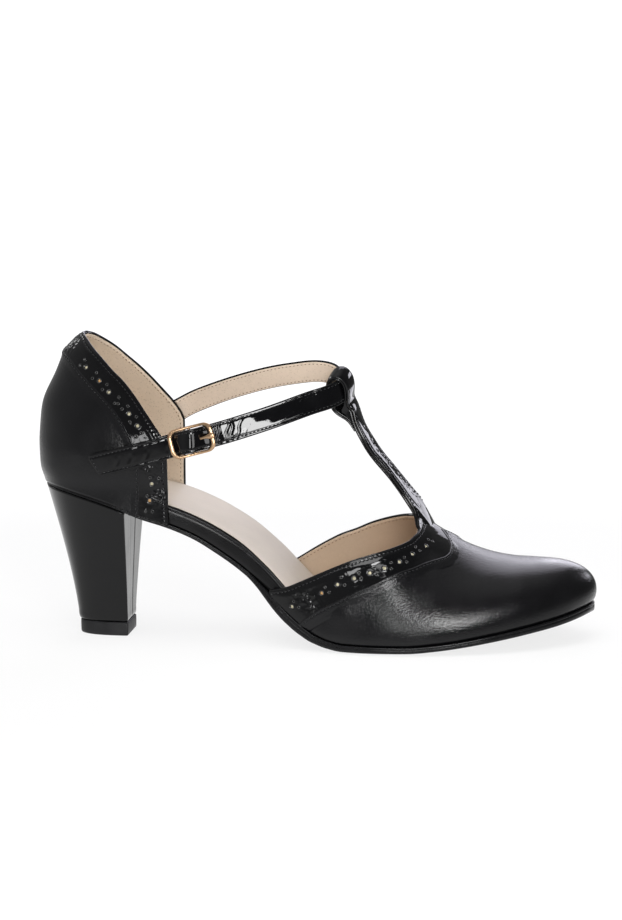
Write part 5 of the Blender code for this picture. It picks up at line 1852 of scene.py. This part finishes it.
def build_tbar():
    apex = int(np.argmax(T_LINE[:, 2]))
    front = np.arange(len(T_LINE)) <= apex
    line, z = T_LINE.copy(), T_LINE[:, 2]
    low_end = (z < 75.0) & front
    # behind the strap the two layers of the bar come together again; below the strap the bar is drawn in
    line[:, 0] += np.where(front, -1.1 * np.exp(-(((z - 106.0) / 4.0) ** 2)), np.interp(z, [88.0, 91.4, 95.2, 98.4, 101.8, 104.0], [1.6, 1.45, 1.1, 0.8, 0.3, 0.0]))
    filled = np.where(front, np.interp(z, [94.0, 95.2, 98.4, 101.0, 103.0, 105.5, 107.0], [0.0, 0.3, 1.7, 3.4, 2.6, 0.6, 0.0]), 0.0)
    # its face turns to the outer side near the base; round the strap the loop lies along the strap
    more = np.radians(np.where(front, np.interp(z, [46.0, 56.0, 64.0, 72.0, 85.0, 91.0, 101.0, 107.0], [6.0, 6.0, 4.0, 0.0, 0.0, -3.0, -3.0, 0.0]), 0.0))[:, None]
    out, wid = T_OUT * np.cos(more) - T_WID * np.sin(more), T_WID * np.cos(more) + T_OUT * np.sin(more)
    f = np.clip((z - np.where(front, 98.0, 94.0)) / 11.0, 0, 1)
    f = (f * f * (3 - 2 * f))[:, None]
    wid = unit(wid * (1 - f) + LOOP_WAY * f)
    out = unit(out - wid * np.sum(out * wid, 1)[:, None])
    line[:, 2] -= 2.0 * f[:, 0]
    flare = steady(FLARE["x"], FLARE["more"])(T_LINE[:, 0]) * low_end
    inner = steady(INNER_FLARE["x"], INNER_FLARE["more"])(T_LINE[:, 0]) * low_end
    line += wid * (inner / 2)[:, None]
    half = T_WIDE / 2 + flare + inner / 2
    top, mid = T_THICK / 2, T_THICK / 2 - 0.55 * T_THICK
    bend = T_BEND * np.interp(z, [50.0, 58.0, 75.0, 95.0], [0.3, 0.5, 1.0, 1.0])
    layers = (("t_bar_patent", top, mid, 0.6, tbar_lift, 0.0), ("t_bar_back", mid + 0.02, -T_THICK / 2 - filled, 0.5, None, 0.18))
    for name, high, low, ease, lift, less in layers:
        sec = np.array([eased(h, 1, 0, 0.3, 41)[:, 0] for h in half - less])
        share = np.clip(eased(1, 1, 0, 0.3, 41)[:, 1], 0, 1)[None]
        rings = strap_rings(line, out, wid, half - less, high, low, ease, lift, bend, 41)
        edge = np.clip((np.abs(sec) - 5.0) / 3.0, 0, 1) * np.clip((rings[..., 0] - 167.6) / 1.8, 0, 1)
        end = np.clip((rings[..., 0] - 170.3) / 3.4, 0, 1)
        if name == "t_bar_patent":
            flap = np.clip((rings[..., 0] - 161.0) / 8.0, 0, 1)
            above = (TRIM_FACE + 0.22 + 0.2 * flap * flap * (1 - 0.75 * edge)) * share - 0.75 * (1 - share) - 0.85 * edge * edge - 1.5 * end * end
        else:
            above = -0.75 - 0.5 * (1 - share) + 0 * edge
        rings = onto_vamp(rings, sec, above)
        if name == "t_bar_patent":
            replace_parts(rods(name, rings, STRAP_PATENT), "t_bar")
        else:
            keep = T_LINE[:, 0] < 170.0
            rods(name, rings[keep][fewer(int(keep.sum()), int(keep.sum()) // 2)], STRAP_PATENT)
    rows = []
    run = np.nonzero((T_LINE[:, 0] < 168.0) & front & (z < 104.0))[0]
    for side in (-1, 1):
        off = side * (half - 1.25)
        p = line + wid * off[:, None]
        lift = tbar_lift((p + out * top[:, None])[:, None], off[:, None])[:, 0]
        face = p + out * (top + lift - 0.5 * bend * off * off + 0.0)[:, None]
        face = onto_vamp(face, off, np.full(len(face), TRIM_FACE + 0.2))
        rows += stitch_rings(face[run], out[run], long=1.3, thick=0.18, pitch=1.85)
    joined("t_bar_stitches", rows, THREAD)


build_tbar()


# ================================================================ buckle
def rod_rings(line, half_a, half_b, up, count=18, closed=False, power=1.0):
    """Rings of a rod with two half-sizes; up says which way the second one lies."""
    line = np.asarray(line, float)
    tan = unit((np.roll(line, -1, 0) - np.roll(line, 1, 0)) if closed else np.gradient(line, axis=0))
    up = np.broadcast_to(np.asarray(up, float), line.shape)
    v = unit(up - tan * np.sum(up * tan, 1)[:, None])
    u = np.cross(tan, v)
    ang = np.linspace(0, 2 * math.pi, count + 1)[:-1]
    c, s = np.cos(ang), np.sin(ang)
    c, s = np.sign(c) * np.abs(c) ** power, np.sign(s) * np.abs(s) ** power
    ha = np.broadcast_to(np.asarray(half_a, float), len(line))[:, None, None]
    hb = np.broadcast_to(np.asarray(half_b, float), len(line))[:, None, None]
    return line[:, None] + u[:, None] * (c[None, :, None] * ha) + v[:, None] * (s[None, :, None] * hb)


def build_buckle():
    _, wide_dir, out_dir = buckle_frame_axes()
    loop = buckle_loop(220)
    for _ in range(5):
        loop = 0.25 * np.roll(loop, 1, 0) + 0.5 * loop + 0.25 * np.roll(loop, -1, 0)
    loop[:, 1] *= 5.88 / BUCKLE_HALF_WIDE
    line = np.array([buckle_point(u, w, BUCKLE_ARCH * (u / BUCKLE_HALF_LONG) ** 2) for u, w in loop])
    ends = np.clip((np.abs(loop[:, 0]) - 6.0) / 2.5, 0, 1)
    ring = rods("buckle_frame_plated", rod_rings(line, 0.64 + 0.30 * ends, 0.74, out_dir, 24, True, 0.92), GOLD, True)
    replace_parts(ring, "buckle_frame")
    bar = [buckle_point(0, w, 0) for w in np.linspace(-BUCKLE_HALF_WIDE, BUCKLE_HALF_WIDE, 12)]
    rods("buckle_centre_bar", rod_rings(bar, BAR_ROUND, BAR_ROUND, out_dir, 20), GOLD)
    rows = table(PRONG)
    k = np.arange(len(rows["along"]))
    s = np.linspace(0, k[-1], 60)
    tongue = np.array([buckle_point(a, 0, b) for a, b in zip(spline(k, rows["along"])(s), spline(k, rows["out"])(s))])
    tip = np.clip((s - k[-1] + 0.55) / 0.55, 0, 1)
    size = PRONG_ROUND * np.sqrt(np.maximum(1 - 0.9 * tip**2, 0.02))
    broad = 1.05 + 0.75 * np.clip((s - 2.6) / 0.8, 0, 1)
    prong = rods("buckle_prong_plated", rod_rings(tongue, size * 0.92, size * broad, wide_dir, 20), GOLD)
    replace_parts(prong, "buckle_prong")
    eye = [buckle_point(1.4 * math.cos(a), 0, 1.4 * math.sin(a)) for a in np.linspace(0, 2 * math.pi, 49)[:-1]]
    rods("buckle_prong_eye", rod_rings(eye, 0.55, 0.45, wide_dir, 16, True), GOLD, True)


build_buckle()


def build_tab():
    _, wide_dir, out_dir = buckle_frame_axes()
    pts = []
    for x in TAB_SEWN:
        z = 85.7 - (57.0 - x) * 0.255
        pts.append(np.array([x, quarter_side(x, z, -1) - FIT - TAB_THICK / 2 - 0.15, z]))
    for u, n in ((-8.6, -2.45), (-5.0, -2.0), (-2.4, -1.48)):
        pts.append(buckle_point(u, 0, n))
    flat = len(pts)
    for a in np.linspace(-90, 110, 9):
        pts.append(buckle_point(TAB_EYE * math.cos(math.radians(a)), 0, TAB_EYE * math.sin(math.radians(a))))
    pts.append(buckle_point(-1.7, 0, 0.75))
    pts = np.array(pts)
    s = np.concatenate([[0], np.cumsum(np.linalg.norm(np.diff(pts, axis=0), axis=1))])
    u = np.linspace(0, s[-1], 150)
    line = np.stack([spline(s, pts[:, i])(u) for i in range(3)], 1)
    tan, nor, wid = frames(line, np.tile(wide_dir, (len(line), 1)))
    if np.sum(nor[10] * out_dir) < 0:
        nor = -nor
    split = int(np.searchsorted(u, s[flat - 2] + 0.5))
    wave = lambda p, a: 0.04 * ripple(p, 4.0, 61)
    whole = strap_rings(line[: split + 2], nor[: split + 2], wid[: split + 2], TAB_WIDE / 2, TAB_THICK / 2, -TAB_THICK / 2, 0.3, wave, None, 15)
    parts = [whole]
    for side in (-1, 1):
        mid = line[split:] + wid[split:] * side * (TAB_WIDE / 4 + 0.75)
        parts.append(strap_rings(mid, nor[split:], wid[split:], TAB_WIDE / 4 - 0.75, TAB_THICK / 2, -TAB_THICK / 2, 0.3, wave, None, 9))
    tab = joined("buckle_tab_patent", parts, STRAP_PATENT)
    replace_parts(tab, "buckle_tab")
    rows = []
    run = slice(6, split - 4)
    for side in (-1, 1):
        p = line + wid * side * (TAB_WIDE / 2 - 1.1) + nor * (TAB_THICK / 2 + 0.03)
        rows += stitch_rings(p[run], nor[run], long=1.2, thick=0.17, pitch=1.8)
    joined("buckle_tab_stitches", rows, THREAD)


build_tab()


# ================================================================ insole, sock and sole
def paired_ring(line, count):
    """A closed plan line as points that face each other across the shoe: heel end, outer side, toe end, inner side."""
    out, inn, x0, x1 = sides(line)
    t = np.linspace(0, 1, count)
    e = 0.5 - 0.5 * np.cos(math.pi * t)
    xs = x0 + (x1 - x0) * (0.55 * e + 0.45 * t)
    k = 9
    bend = np.linspace(0, 1, k + 1)
    xs[: k + 1] = x0 + (xs[k] - x0) * bend**1.9
    xs[-k - 1 :] = x1 - (x1 - xs[-k - 1]) * (bend**1.9)[::-1]
    a = np.stack([xs, out(xs)], 1)
    b = np.stack([xs, inn(xs)], 1)
    a[0] = b[0] = line[int(np.argmin(line[:, 0]))]
    a[-1] = b[-1] = line[int(np.argmax(line[:, 0]))]
    return np.concatenate([a, b[::-1][1:-1]])


def shrunk(ring, share, round_end=26.0):
    """The ring drawn in towards the middle line of the shoe, share 1 whole, 0 on the line."""
    n = len(ring)
    other = ring[(-np.arange(n)) % n]
    x0, x1 = ring[:, 0].min(), ring[:, 0].max()
    mid = 0.5 * (ring[:, 1] + other[:, 1])
    y = mid + (ring[:, 1] - mid) * share
    return np.stack([np.clip(ring[:, 0], x0 + (1 - share) * round_end, x1 - (1 - share) * round_end), y], 1)


def lens(name, rings, mat, merge=0.0):
    """A closed skin over facing rings from the middle of one face, over the edge, to the middle of the other."""
    rings = np.asarray(rings, float)
    n, m = rings.shape[:2]
    faces = grid_faces(n, m, 0, False, True).tolist()
    for r, flip in ((0, False), (n - 1, True)):
        for j in range(m // 2):
            ids = list(dict.fromkeys(r * m + q % m for q in (j, j + 1, m - j - 1, m - j)))
            if len(ids) > 2:
                faces.append(ids[::-1] if flip else ids)
    return piece(name, rings.reshape(-1, 3), faces, mat, merge=merge)


def build_insole():
    edge = WALL + 0.5
    count = 190
    ring = lambda inset: paired_ring(grown(PLAN_LINE, np.full(len(PLAN_LINE), -(edge + inset))), count)
    base = ring(0.0)
    tall = F_INSOLE(base[:, 0])
    rows = []
    low = ring(0.5)
    for share in (0.08, 0.35, 0.65, 0.9):
        q = shrunk(low, share)
        rows.append(np.column_stack([q, feather(q[:, 0], q[:, 1])]))
    # the rim: (inset, height from below, or from the top where negative)
    profile = [(0.5, 0.0), (0.1, 0.15), (0.0, 0.5), (-0.12, 1.6), (-0.16, 3.0), (-0.12, -3.4), (-0.08, -2.3), (0.02, -1.95), (0.26, -1.8), (0.05, -1.6), (-0.06, -1.35), (0.0, -0.9), (0.22, -0.42), (0.62, -0.12), (1.1, -0.02), (1.8, 0.0)]
    for k, (inset, h) in enumerate(profile):
        q = ring(inset)
        z0, z1 = feather(q[:, 0], q[:, 1]), insole_top(q[:, 0], q[:, 1])
        z = z1 + h if (h < 0 or k == len(profile) - 1) else z0 + h
        wave = 0.05 * ripple(np.column_stack([q, z]), 9.0, 71)
        rows.append(np.column_stack([q + wave[:, None] * 0.5, np.minimum(z, z1)]))
    high = ring(1.8)
    for share in (0.9, 0.6, 0.3, 0.08):
        q = shrunk(high, share)
        rows.append(np.column_stack([q, insole_top(q[:, 0], q[:, 1])]))
    body = lens("insole_wrapped", rows, WRAP)
    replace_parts(body, "insole")
    # sock: a thin pale leather on top, slightly hollow along its middle
    rows = []
    first = ring(1.25)
    for share in (0.08, 0.4, 0.75, 0.95):
        q = shrunk(first, share)
        rows.append(np.column_stack([q, insole_top(q[:, 0], q[:, 1]) - 0.12]))
    for inset, h in ((1.12, -0.10), (1.05, 0.02), (1.10, 0.22), (1.25, 0.36), (1.55, 0.42), (2.4, 0.44)):
        q = ring(inset)
        rows.append(np.column_stack([q, insole_top(q[:, 0], q[:, 1]) + h]))
    last = ring(2.4)
    for share in np.linspace(0.94, 0.05, 22):
        q = shrunk(last, share)
        z = insole_top(q[:, 0], q[:, 1])
        p = np.column_stack([q, z])
        hollow = -0.12 * (1 - share**2) * np.exp(-(((q[:, 0] - 30.0) / 30.0) ** 2)) + 0.5 * (1 - share**2) * np.exp(-(((q[:, 0] - 90.0) / 26.0) ** 2))
        rows.append(np.column_stack([q, z + 0.44 + hollow + 0.06 * ripple(p, 22.0, 72)]))
    lens("insole_sock", rows, SOCK)


build_insole()


def build_outsole():
    count = 210
    rim = lambda inset: paired_ring(grown(PLAN_LINE, F_EDGE(PLAN_LINE[:, 0]) - inset), count)
    rows = []
    low = rim(0.7)
    for share in (0.05, 0.3, 0.55, 0.78, 0.92):
        q = shrunk(low, share)
        rows.append(np.column_stack([q, sole_bottom(q[:, 0], q[:, 1])]))
    # edge of the sole: inset, and height as a share of its thickness; a fine groove runs above its middle
    profile = [(0.7, 0.0), (0.28, 0.03), (0.08, 0.10), (0.0, 0.2), (-0.04, 0.36), (-0.03, 0.50), (0.02, 0.57), (0.26, 0.61), (0.26, 0.66), (0.04, 0.70), (-0.02, 0.76), (0.02, 0.86), (0.12, 0.94), (0.34, 0.99), (0.9, 1.0)]
    for inset, share in profile:
        deep = np.clip((F_THICK(rim(0)[:, 0]) - 1.4) / 1.6, 0, 1)
        q0, q = rim(0.0), rim(inset)
        q = q0 + (q - q0) * np.where(inset > 0.25, 1.0, 1.0) * (0.35 + 0.65 * deep)[:, None]
        z0, z1 = sole_bottom(q[:, 0], q[:, 1]), sole_top(q[:, 0], q[:, 1])
        rows.append(np.column_stack([q, z0 + (z1 - z0) * share]))
    high = rim(0.9)
    for share in (0.92, 0.5, 0.05):
        q = shrunk(high, share)
        rows.append(np.column_stack([q, sole_top(q[:, 0], q[:, 1])]))
    sole = lens("outsole_body", rows, SOLE_SKIN)
    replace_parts(sole, "outsole")


build_outsole()

# ================================================================ heel
HEEL_FOOT = {"front": 38.9, "back": 15.5, "half": 10.6}     # plan of the heel at the top piece
TOP_PIECE_BACK = 16.2
HEEL_CURVE = 1.3                                            # how the heel narrows from seat to floor


def heel_seat(round_corner=1.5, side_count=70, turn=9, front_count=141):
    """Plan of the heel's seat, closed: outer side from the front round the back to the inner front, then across the front."""
    out, inn, x0, _ = sides(grown(PLAN_LINE, np.full(len(PLAN_LINE), -0.35)))
    r = round_corner
    a = np.linspace(0, 1, side_count)
    xs = (HEEL_FRONT - r) - (HEEL_FRONT - r - x0) * np.sin(a * math.pi / 2)
    outer, inner = np.stack([xs, out(xs)], 1), np.stack([xs, inn(xs)], 1)
    y0, y1 = float(out(HEEL_FRONT - r)), float(inn(HEEL_FRONT - r))
    ang = np.linspace(0, math.pi / 2, turn + 1)[1:]
    corner_in = np.stack([HEEL_FRONT - r + r * np.sin(ang), y1 - r + r * np.cos(ang)], 1)
    corner_out = np.stack([HEEL_FRONT - r + r * np.sin(ang), y0 + r - r * np.cos(ang)], 1)[::-1]
    front = np.stack([np.full(front_count, HEEL_FRONT), np.linspace(y1 - r, y0 + r, front_count)], 1)[1:-1]
    return np.concatenate([outer[:-1], [(x0, 0.0)], inner[::-1][1:], corner_in, front, corner_out])


def heel_foot(seat, grow=0.0, rear=HEEL_FOOT["back"]):
    back = seat[:, 0].min()
    u = (HEEL_FRONT - seat[:, 0]) / (HEEL_FRONT - back)
    v = seat[:, 1] / np.abs(seat[:, 1]).max()
    x = HEEL_FOOT["front"] + grow - (HEEL_FOOT["front"] - rear + 2 * grow) * u
    return np.stack([x, (HEEL_FOOT["half"] + grow) * v], 1)


# grooves down the breast of the heel, where the cover's edges and its middle strip meet: place across and depth
BREAST = table("""
at     half   deep
-0.42  0.030  0.05
0.10   0.035  0.34
""")


def heel_surface(seat, seat_z, s):
    foot = heel_foot(seat)
    g = s**HEEL_CURVE
    xy = foot + (seat - foot) * g
    z = (TOP_PIECE_TALL + FIT) + (seat_z - TOP_PIECE_TALL - FIT) * s
    return xy, z


def build_heel():
    seat = heel_seat()
    seat_z = sole_bottom(seat[:, 0], seat[:, 1]) - FIT
    v = seat[:, 1] / np.abs(seat[:, 1]).max()
    front = np.clip((seat[:, 0] - (HEEL_FRONT - 0.25)) / 0.2, 0, 1)
    rows = []
    n = len(seat)
    tidy = lambda xy: xy
    for s in np.concatenate([[0.0, 0.004, 0.012, 0.025, 0.04], np.linspace(0.06, 0.97, 58), [0.985, 1.0]]):
        xy, z = heel_surface(seat, seat_z, s)
        xy = xy.copy()
        # the cover turns under at the foot with a slight flare, and under the seat
        turn = 0.55 * math.exp(-s / 0.007) - 0.10 * math.exp(-(((s - 0.028) / 0.022) ** 2))
        mid = np.array([xy[:, 0].mean(), 0.0])
        away = unit(xy - mid)
        xy -= away * turn
        dent = np.zeros(n)
        for at, half, deep in zip(BREAST["at"], BREAST["half"], BREAST["deep"]):
            at = at + 0.015 * math.sin(3.1 * s + at * 9)
            dent += deep * np.exp(-(((v - at) / half) ** 2))
        xy[:, 0] -= front * dent * min(1.0, s / 0.05 + 0.2)
        p = np.column_stack([xy, z])
        xy += away * (0.05 * ripple(p, 24.0, 81))[:, None]
        rows.append(np.column_stack([xy, z]))
    rows = np.array(rows)
    cap = lambda ring, lift: [ring.mean(0) + (ring - ring.mean(0)) * k + np.array([0, 0, lift * (1 - k)]) for k in (0.08, 0.4, 0.7, 0.93)]
    under = np.array(cap(rows[0], 0.0))
    over = np.array(cap(rows[-1], 0.0))[::-1]
    heel = rods("heel_covered", np.concatenate([under, rows, over]), HEEL_SKIN)
    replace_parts(heel, "heel")
    rows = []
    for z, grow in ((0.0, -1.2), (0.0, -0.55), (0.12, -0.25), (0.35, -0.05), (0.8, 0.05), (2.0, 0.1), (4.0, 0.12), (5.4, 0.1), (5.8, 0.0), (6.0, -0.25)):
        ring = heel_foot(seat, grow, TOP_PIECE_BACK)
        rows.append(np.column_stack([ring, np.full(len(ring), z)]))
    rows = np.array(rows)
    under, over = np.array(cap(rows[0], 0.0)), np.array(cap(rows[-1], 0.0))[::-1]
    top = rods("heel_top_piece_rubber", np.concatenate([under, rows, over]), TOP_RUBBER)
    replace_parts(top, "heel_top_piece")


build_heel()

# ================================================================ camera, floor and light
# the view: turned from the outer side towards the toe, and raised; distance and target in millimetres
VIEW_AZ, VIEW_EL, VIEW_ROLL = math.radians(7.9), math.radians(9.1), math.radians(-0.56)
VIEW_FAR, VIEW_AT = 1800.0, np.array([119.3, 0.0, 77.6])
back = np.array([math.sin(VIEW_AZ) * math.cos(VIEW_EL), -math.cos(VIEW_AZ) * math.cos(VIEW_EL), math.sin(VIEW_EL)])
right = np.array([math.cos(VIEW_AZ), math.sin(VIEW_AZ), 0.0])
above = np.cross(back, right)
right, above = math.cos(VIEW_ROLL) * right + math.sin(VIEW_ROLL) * above, math.cos(VIEW_ROLL) * above - math.sin(VIEW_ROLL) * right
where = put(VIEW_AT + VIEW_FAR * back)[0]
cam = bpy.data.objects.new("view", bpy.data.cameras.new("view"))
cam.data.sensor_width = 36.0
cam.data.lens = 4127.0 / 920.0 * 36.0
cam.data.clip_end = 200.0
m = Matrix.Identity(4)
for i in range(3):
    m[i][0], m[i][1], m[i][2], m[i][3] = right[i], above[i], back[i], where[i]
cam.matrix_world = m
scene.collection.objects.link(cam)
scene.camera = cam
scene.view_settings.view_transform = "Standard"

mesh = bpy.data.meshes.new("floor")
mesh.from_pydata([(-30, -30, 0), (30, -30, 0), (30, 30, 0), (-30, 30, 0)], [], [(0, 1, 2, 3)])
floor = bpy.data.objects.new("floor", mesh)
mat, nodes, links, node = shader("pale_floor", (0.19, 0.19, 0.19), 0.9, Specular_IOR_Level=0.0, Emission_Strength=0.8)
node.inputs["Emission Color"].default_value = (1.0, 1.0, 1.0, 1.0)
# the floor glows, more strongly away from the shoe: painted light that keeps the far floor white while shadows still
# show near the shoe
span = nodes.new("ShaderNodeVectorMath")
span.operation = "LENGTH"
links.new(coords(nodes, links), span.inputs[0])
links.new(spread(nodes, links, span.outputs["Value"], 0.30, 1.15, 0.805, 1.06), node.inputs["Emission Strength"])
mesh.materials.append(mat)
scene.collection.objects.link(floor)
floor.visible_glossy = False

world = bpy.data.worlds.new("studio")
scene.world = world
world.use_nodes = True
nodes, links = world.node_tree.nodes, world.node_tree.links
light = next(n for n in nodes if n.type == "BACKGROUND")
way = nodes.new("ShaderNodeTexCoord")
parts = nodes.new("ShaderNodeSeparateXYZ")
links.new(way.outputs["Generated"], parts.inputs["Vector"])


def ramp(socket, stops):
    node = nodes.new("ShaderNodeValToRGB")
    links.new(socket, node.inputs["Fac"])
    while len(node.color_ramp.elements) < len(stops):
        node.color_ramp.elements.new(0.5)
    for e, (at, tone) in zip(node.color_ramp.elements, stops):
        e.position = at
        e.color = (tone, tone, tone, 1.0)
    return node.outputs["Color"]


# brightness of the surroundings: a white table below the horizon, brighter behind the shoe; a dim room above it,
# darker in front and on the toe's side
tall = spread(nodes, links, parts.outputs["Z"], -1.0, 1.0)
long = spread(nodes, links, parts.outputs["X"], -1.0, 1.0)
deep = spread(nodes, links, parts.outputs["Y"], -1.0, 1.0)
table_tone = ramp(tall, [(0.0, 0.50), (0.20, 0.55), (0.33, 0.58), (0.39, 0.44), (0.43, 0.22), (0.475, 0.0)])
table_side = ramp(deep, [(0.0, 1.0), (0.55, 1.0), (0.8, 1.7), (1.0, 2.4)])
room_tone = ramp(tall, [(0.42, 0.0), (0.475, 0.17), (0.70, 0.15), (0.90, 0.17), (0.965, 0.40), (1.0, 0.48)])
room_side = ramp(long, [(0.0, 2.2), (0.25, 1.7), (0.5, 1.1), (0.75, 0.6), (1.0, 0.5)])
room_deep = ramp(deep, [(0.0, 0.6), (0.25, 0.75), (0.6, 1.0), (1.0, 1.25)])


def both(first, second, way):
    mix = nodes.new("ShaderNodeMix")
    mix.data_type, mix.blend_type = "RGBA", way
    mix.inputs[0].default_value = 1.0
    links.new(first, mix.inputs[6])
    links.new(second, mix.inputs[7])
    return mix.outputs[2]


room = both(both(room_tone, room_side, "MULTIPLY"), room_deep, "MULTIPLY")
links.new(both(both(table_tone, table_side, "MULTIPLY"), room, "ADD"), light.inputs["Color"])
light.inputs["Strength"].default_value = 1.0


def lamp(name, az, el, far, wide, tall_, power, at=(150.0, 0.0, 30.0), glossy=True, tint=(1.0, 1.0, 1.0), roll=0.0):
    """A soft box aimed at the shoe: az from the outer side towards the toe, el above the floor, in degrees."""
    a, e = math.radians(az), math.radians(el)
    d = Vector((math.sin(a) * math.cos(e), -math.cos(a) * math.cos(e), math.sin(e)))
    data = bpy.data.lights.new(name, "AREA")
    data.shape = "RECTANGLE"
    data.size, data.size_y = wide, tall_
    data.energy = power
    data.color = tint
    obj = bpy.data.objects.new(name, data)
    obj.location = Vector(put(at)[0]) + d * far
    obj.rotation_euler = (d.to_track_quat("Z", "Y").to_matrix() @ Matrix.Rotation(math.radians(roll), 3, "Z")).to_euler()
    obj.visible_camera = False
    obj.visible_glossy = glossy
    scene.collection.objects.link(obj)
    return obj


lamp("key_box", 17.5, 18.6, 1.25, 0.329, 0.290, 5.2)
lamp("low_box", -4.0, 7.0, 1.25, 0.351, 0.175, 1.35)
lamp("soft_box", 0.0, 42.0, 0.09, 0.058, 0.040, 0.028, at=(146.0, -37.0, 38.0), roll=8.0)
lamp("back_box", 139.0, 20.75, 1.25, 0.35, 0.23, 1.25, tint=(0.98, 0.97, 1.06))
lamp("back_panel", 178.0, 32.5, 1.25, 0.62, 1.19, 3.8, tint=(0.98, 0.96, 1.08))
lamp("back_near_box", 150.0, 9.0, 0.15, 0.072, 0.03, 0.017, at=(168.0, 0.0, 55.0), tint=(0.98, 0.97, 1.06))
lamp("rim_box", -126.0, 31.0, 1.25, 0.2, 0.2, 0.63)
lamp("top_fill", 0.0, 80.0, 2.0, 1.6, 1.6, 19.5, glossy=False)
lamp("front_fill", -6.0, 38.0, 2.2, 1.2, 1.2, 9.0, glossy=False)
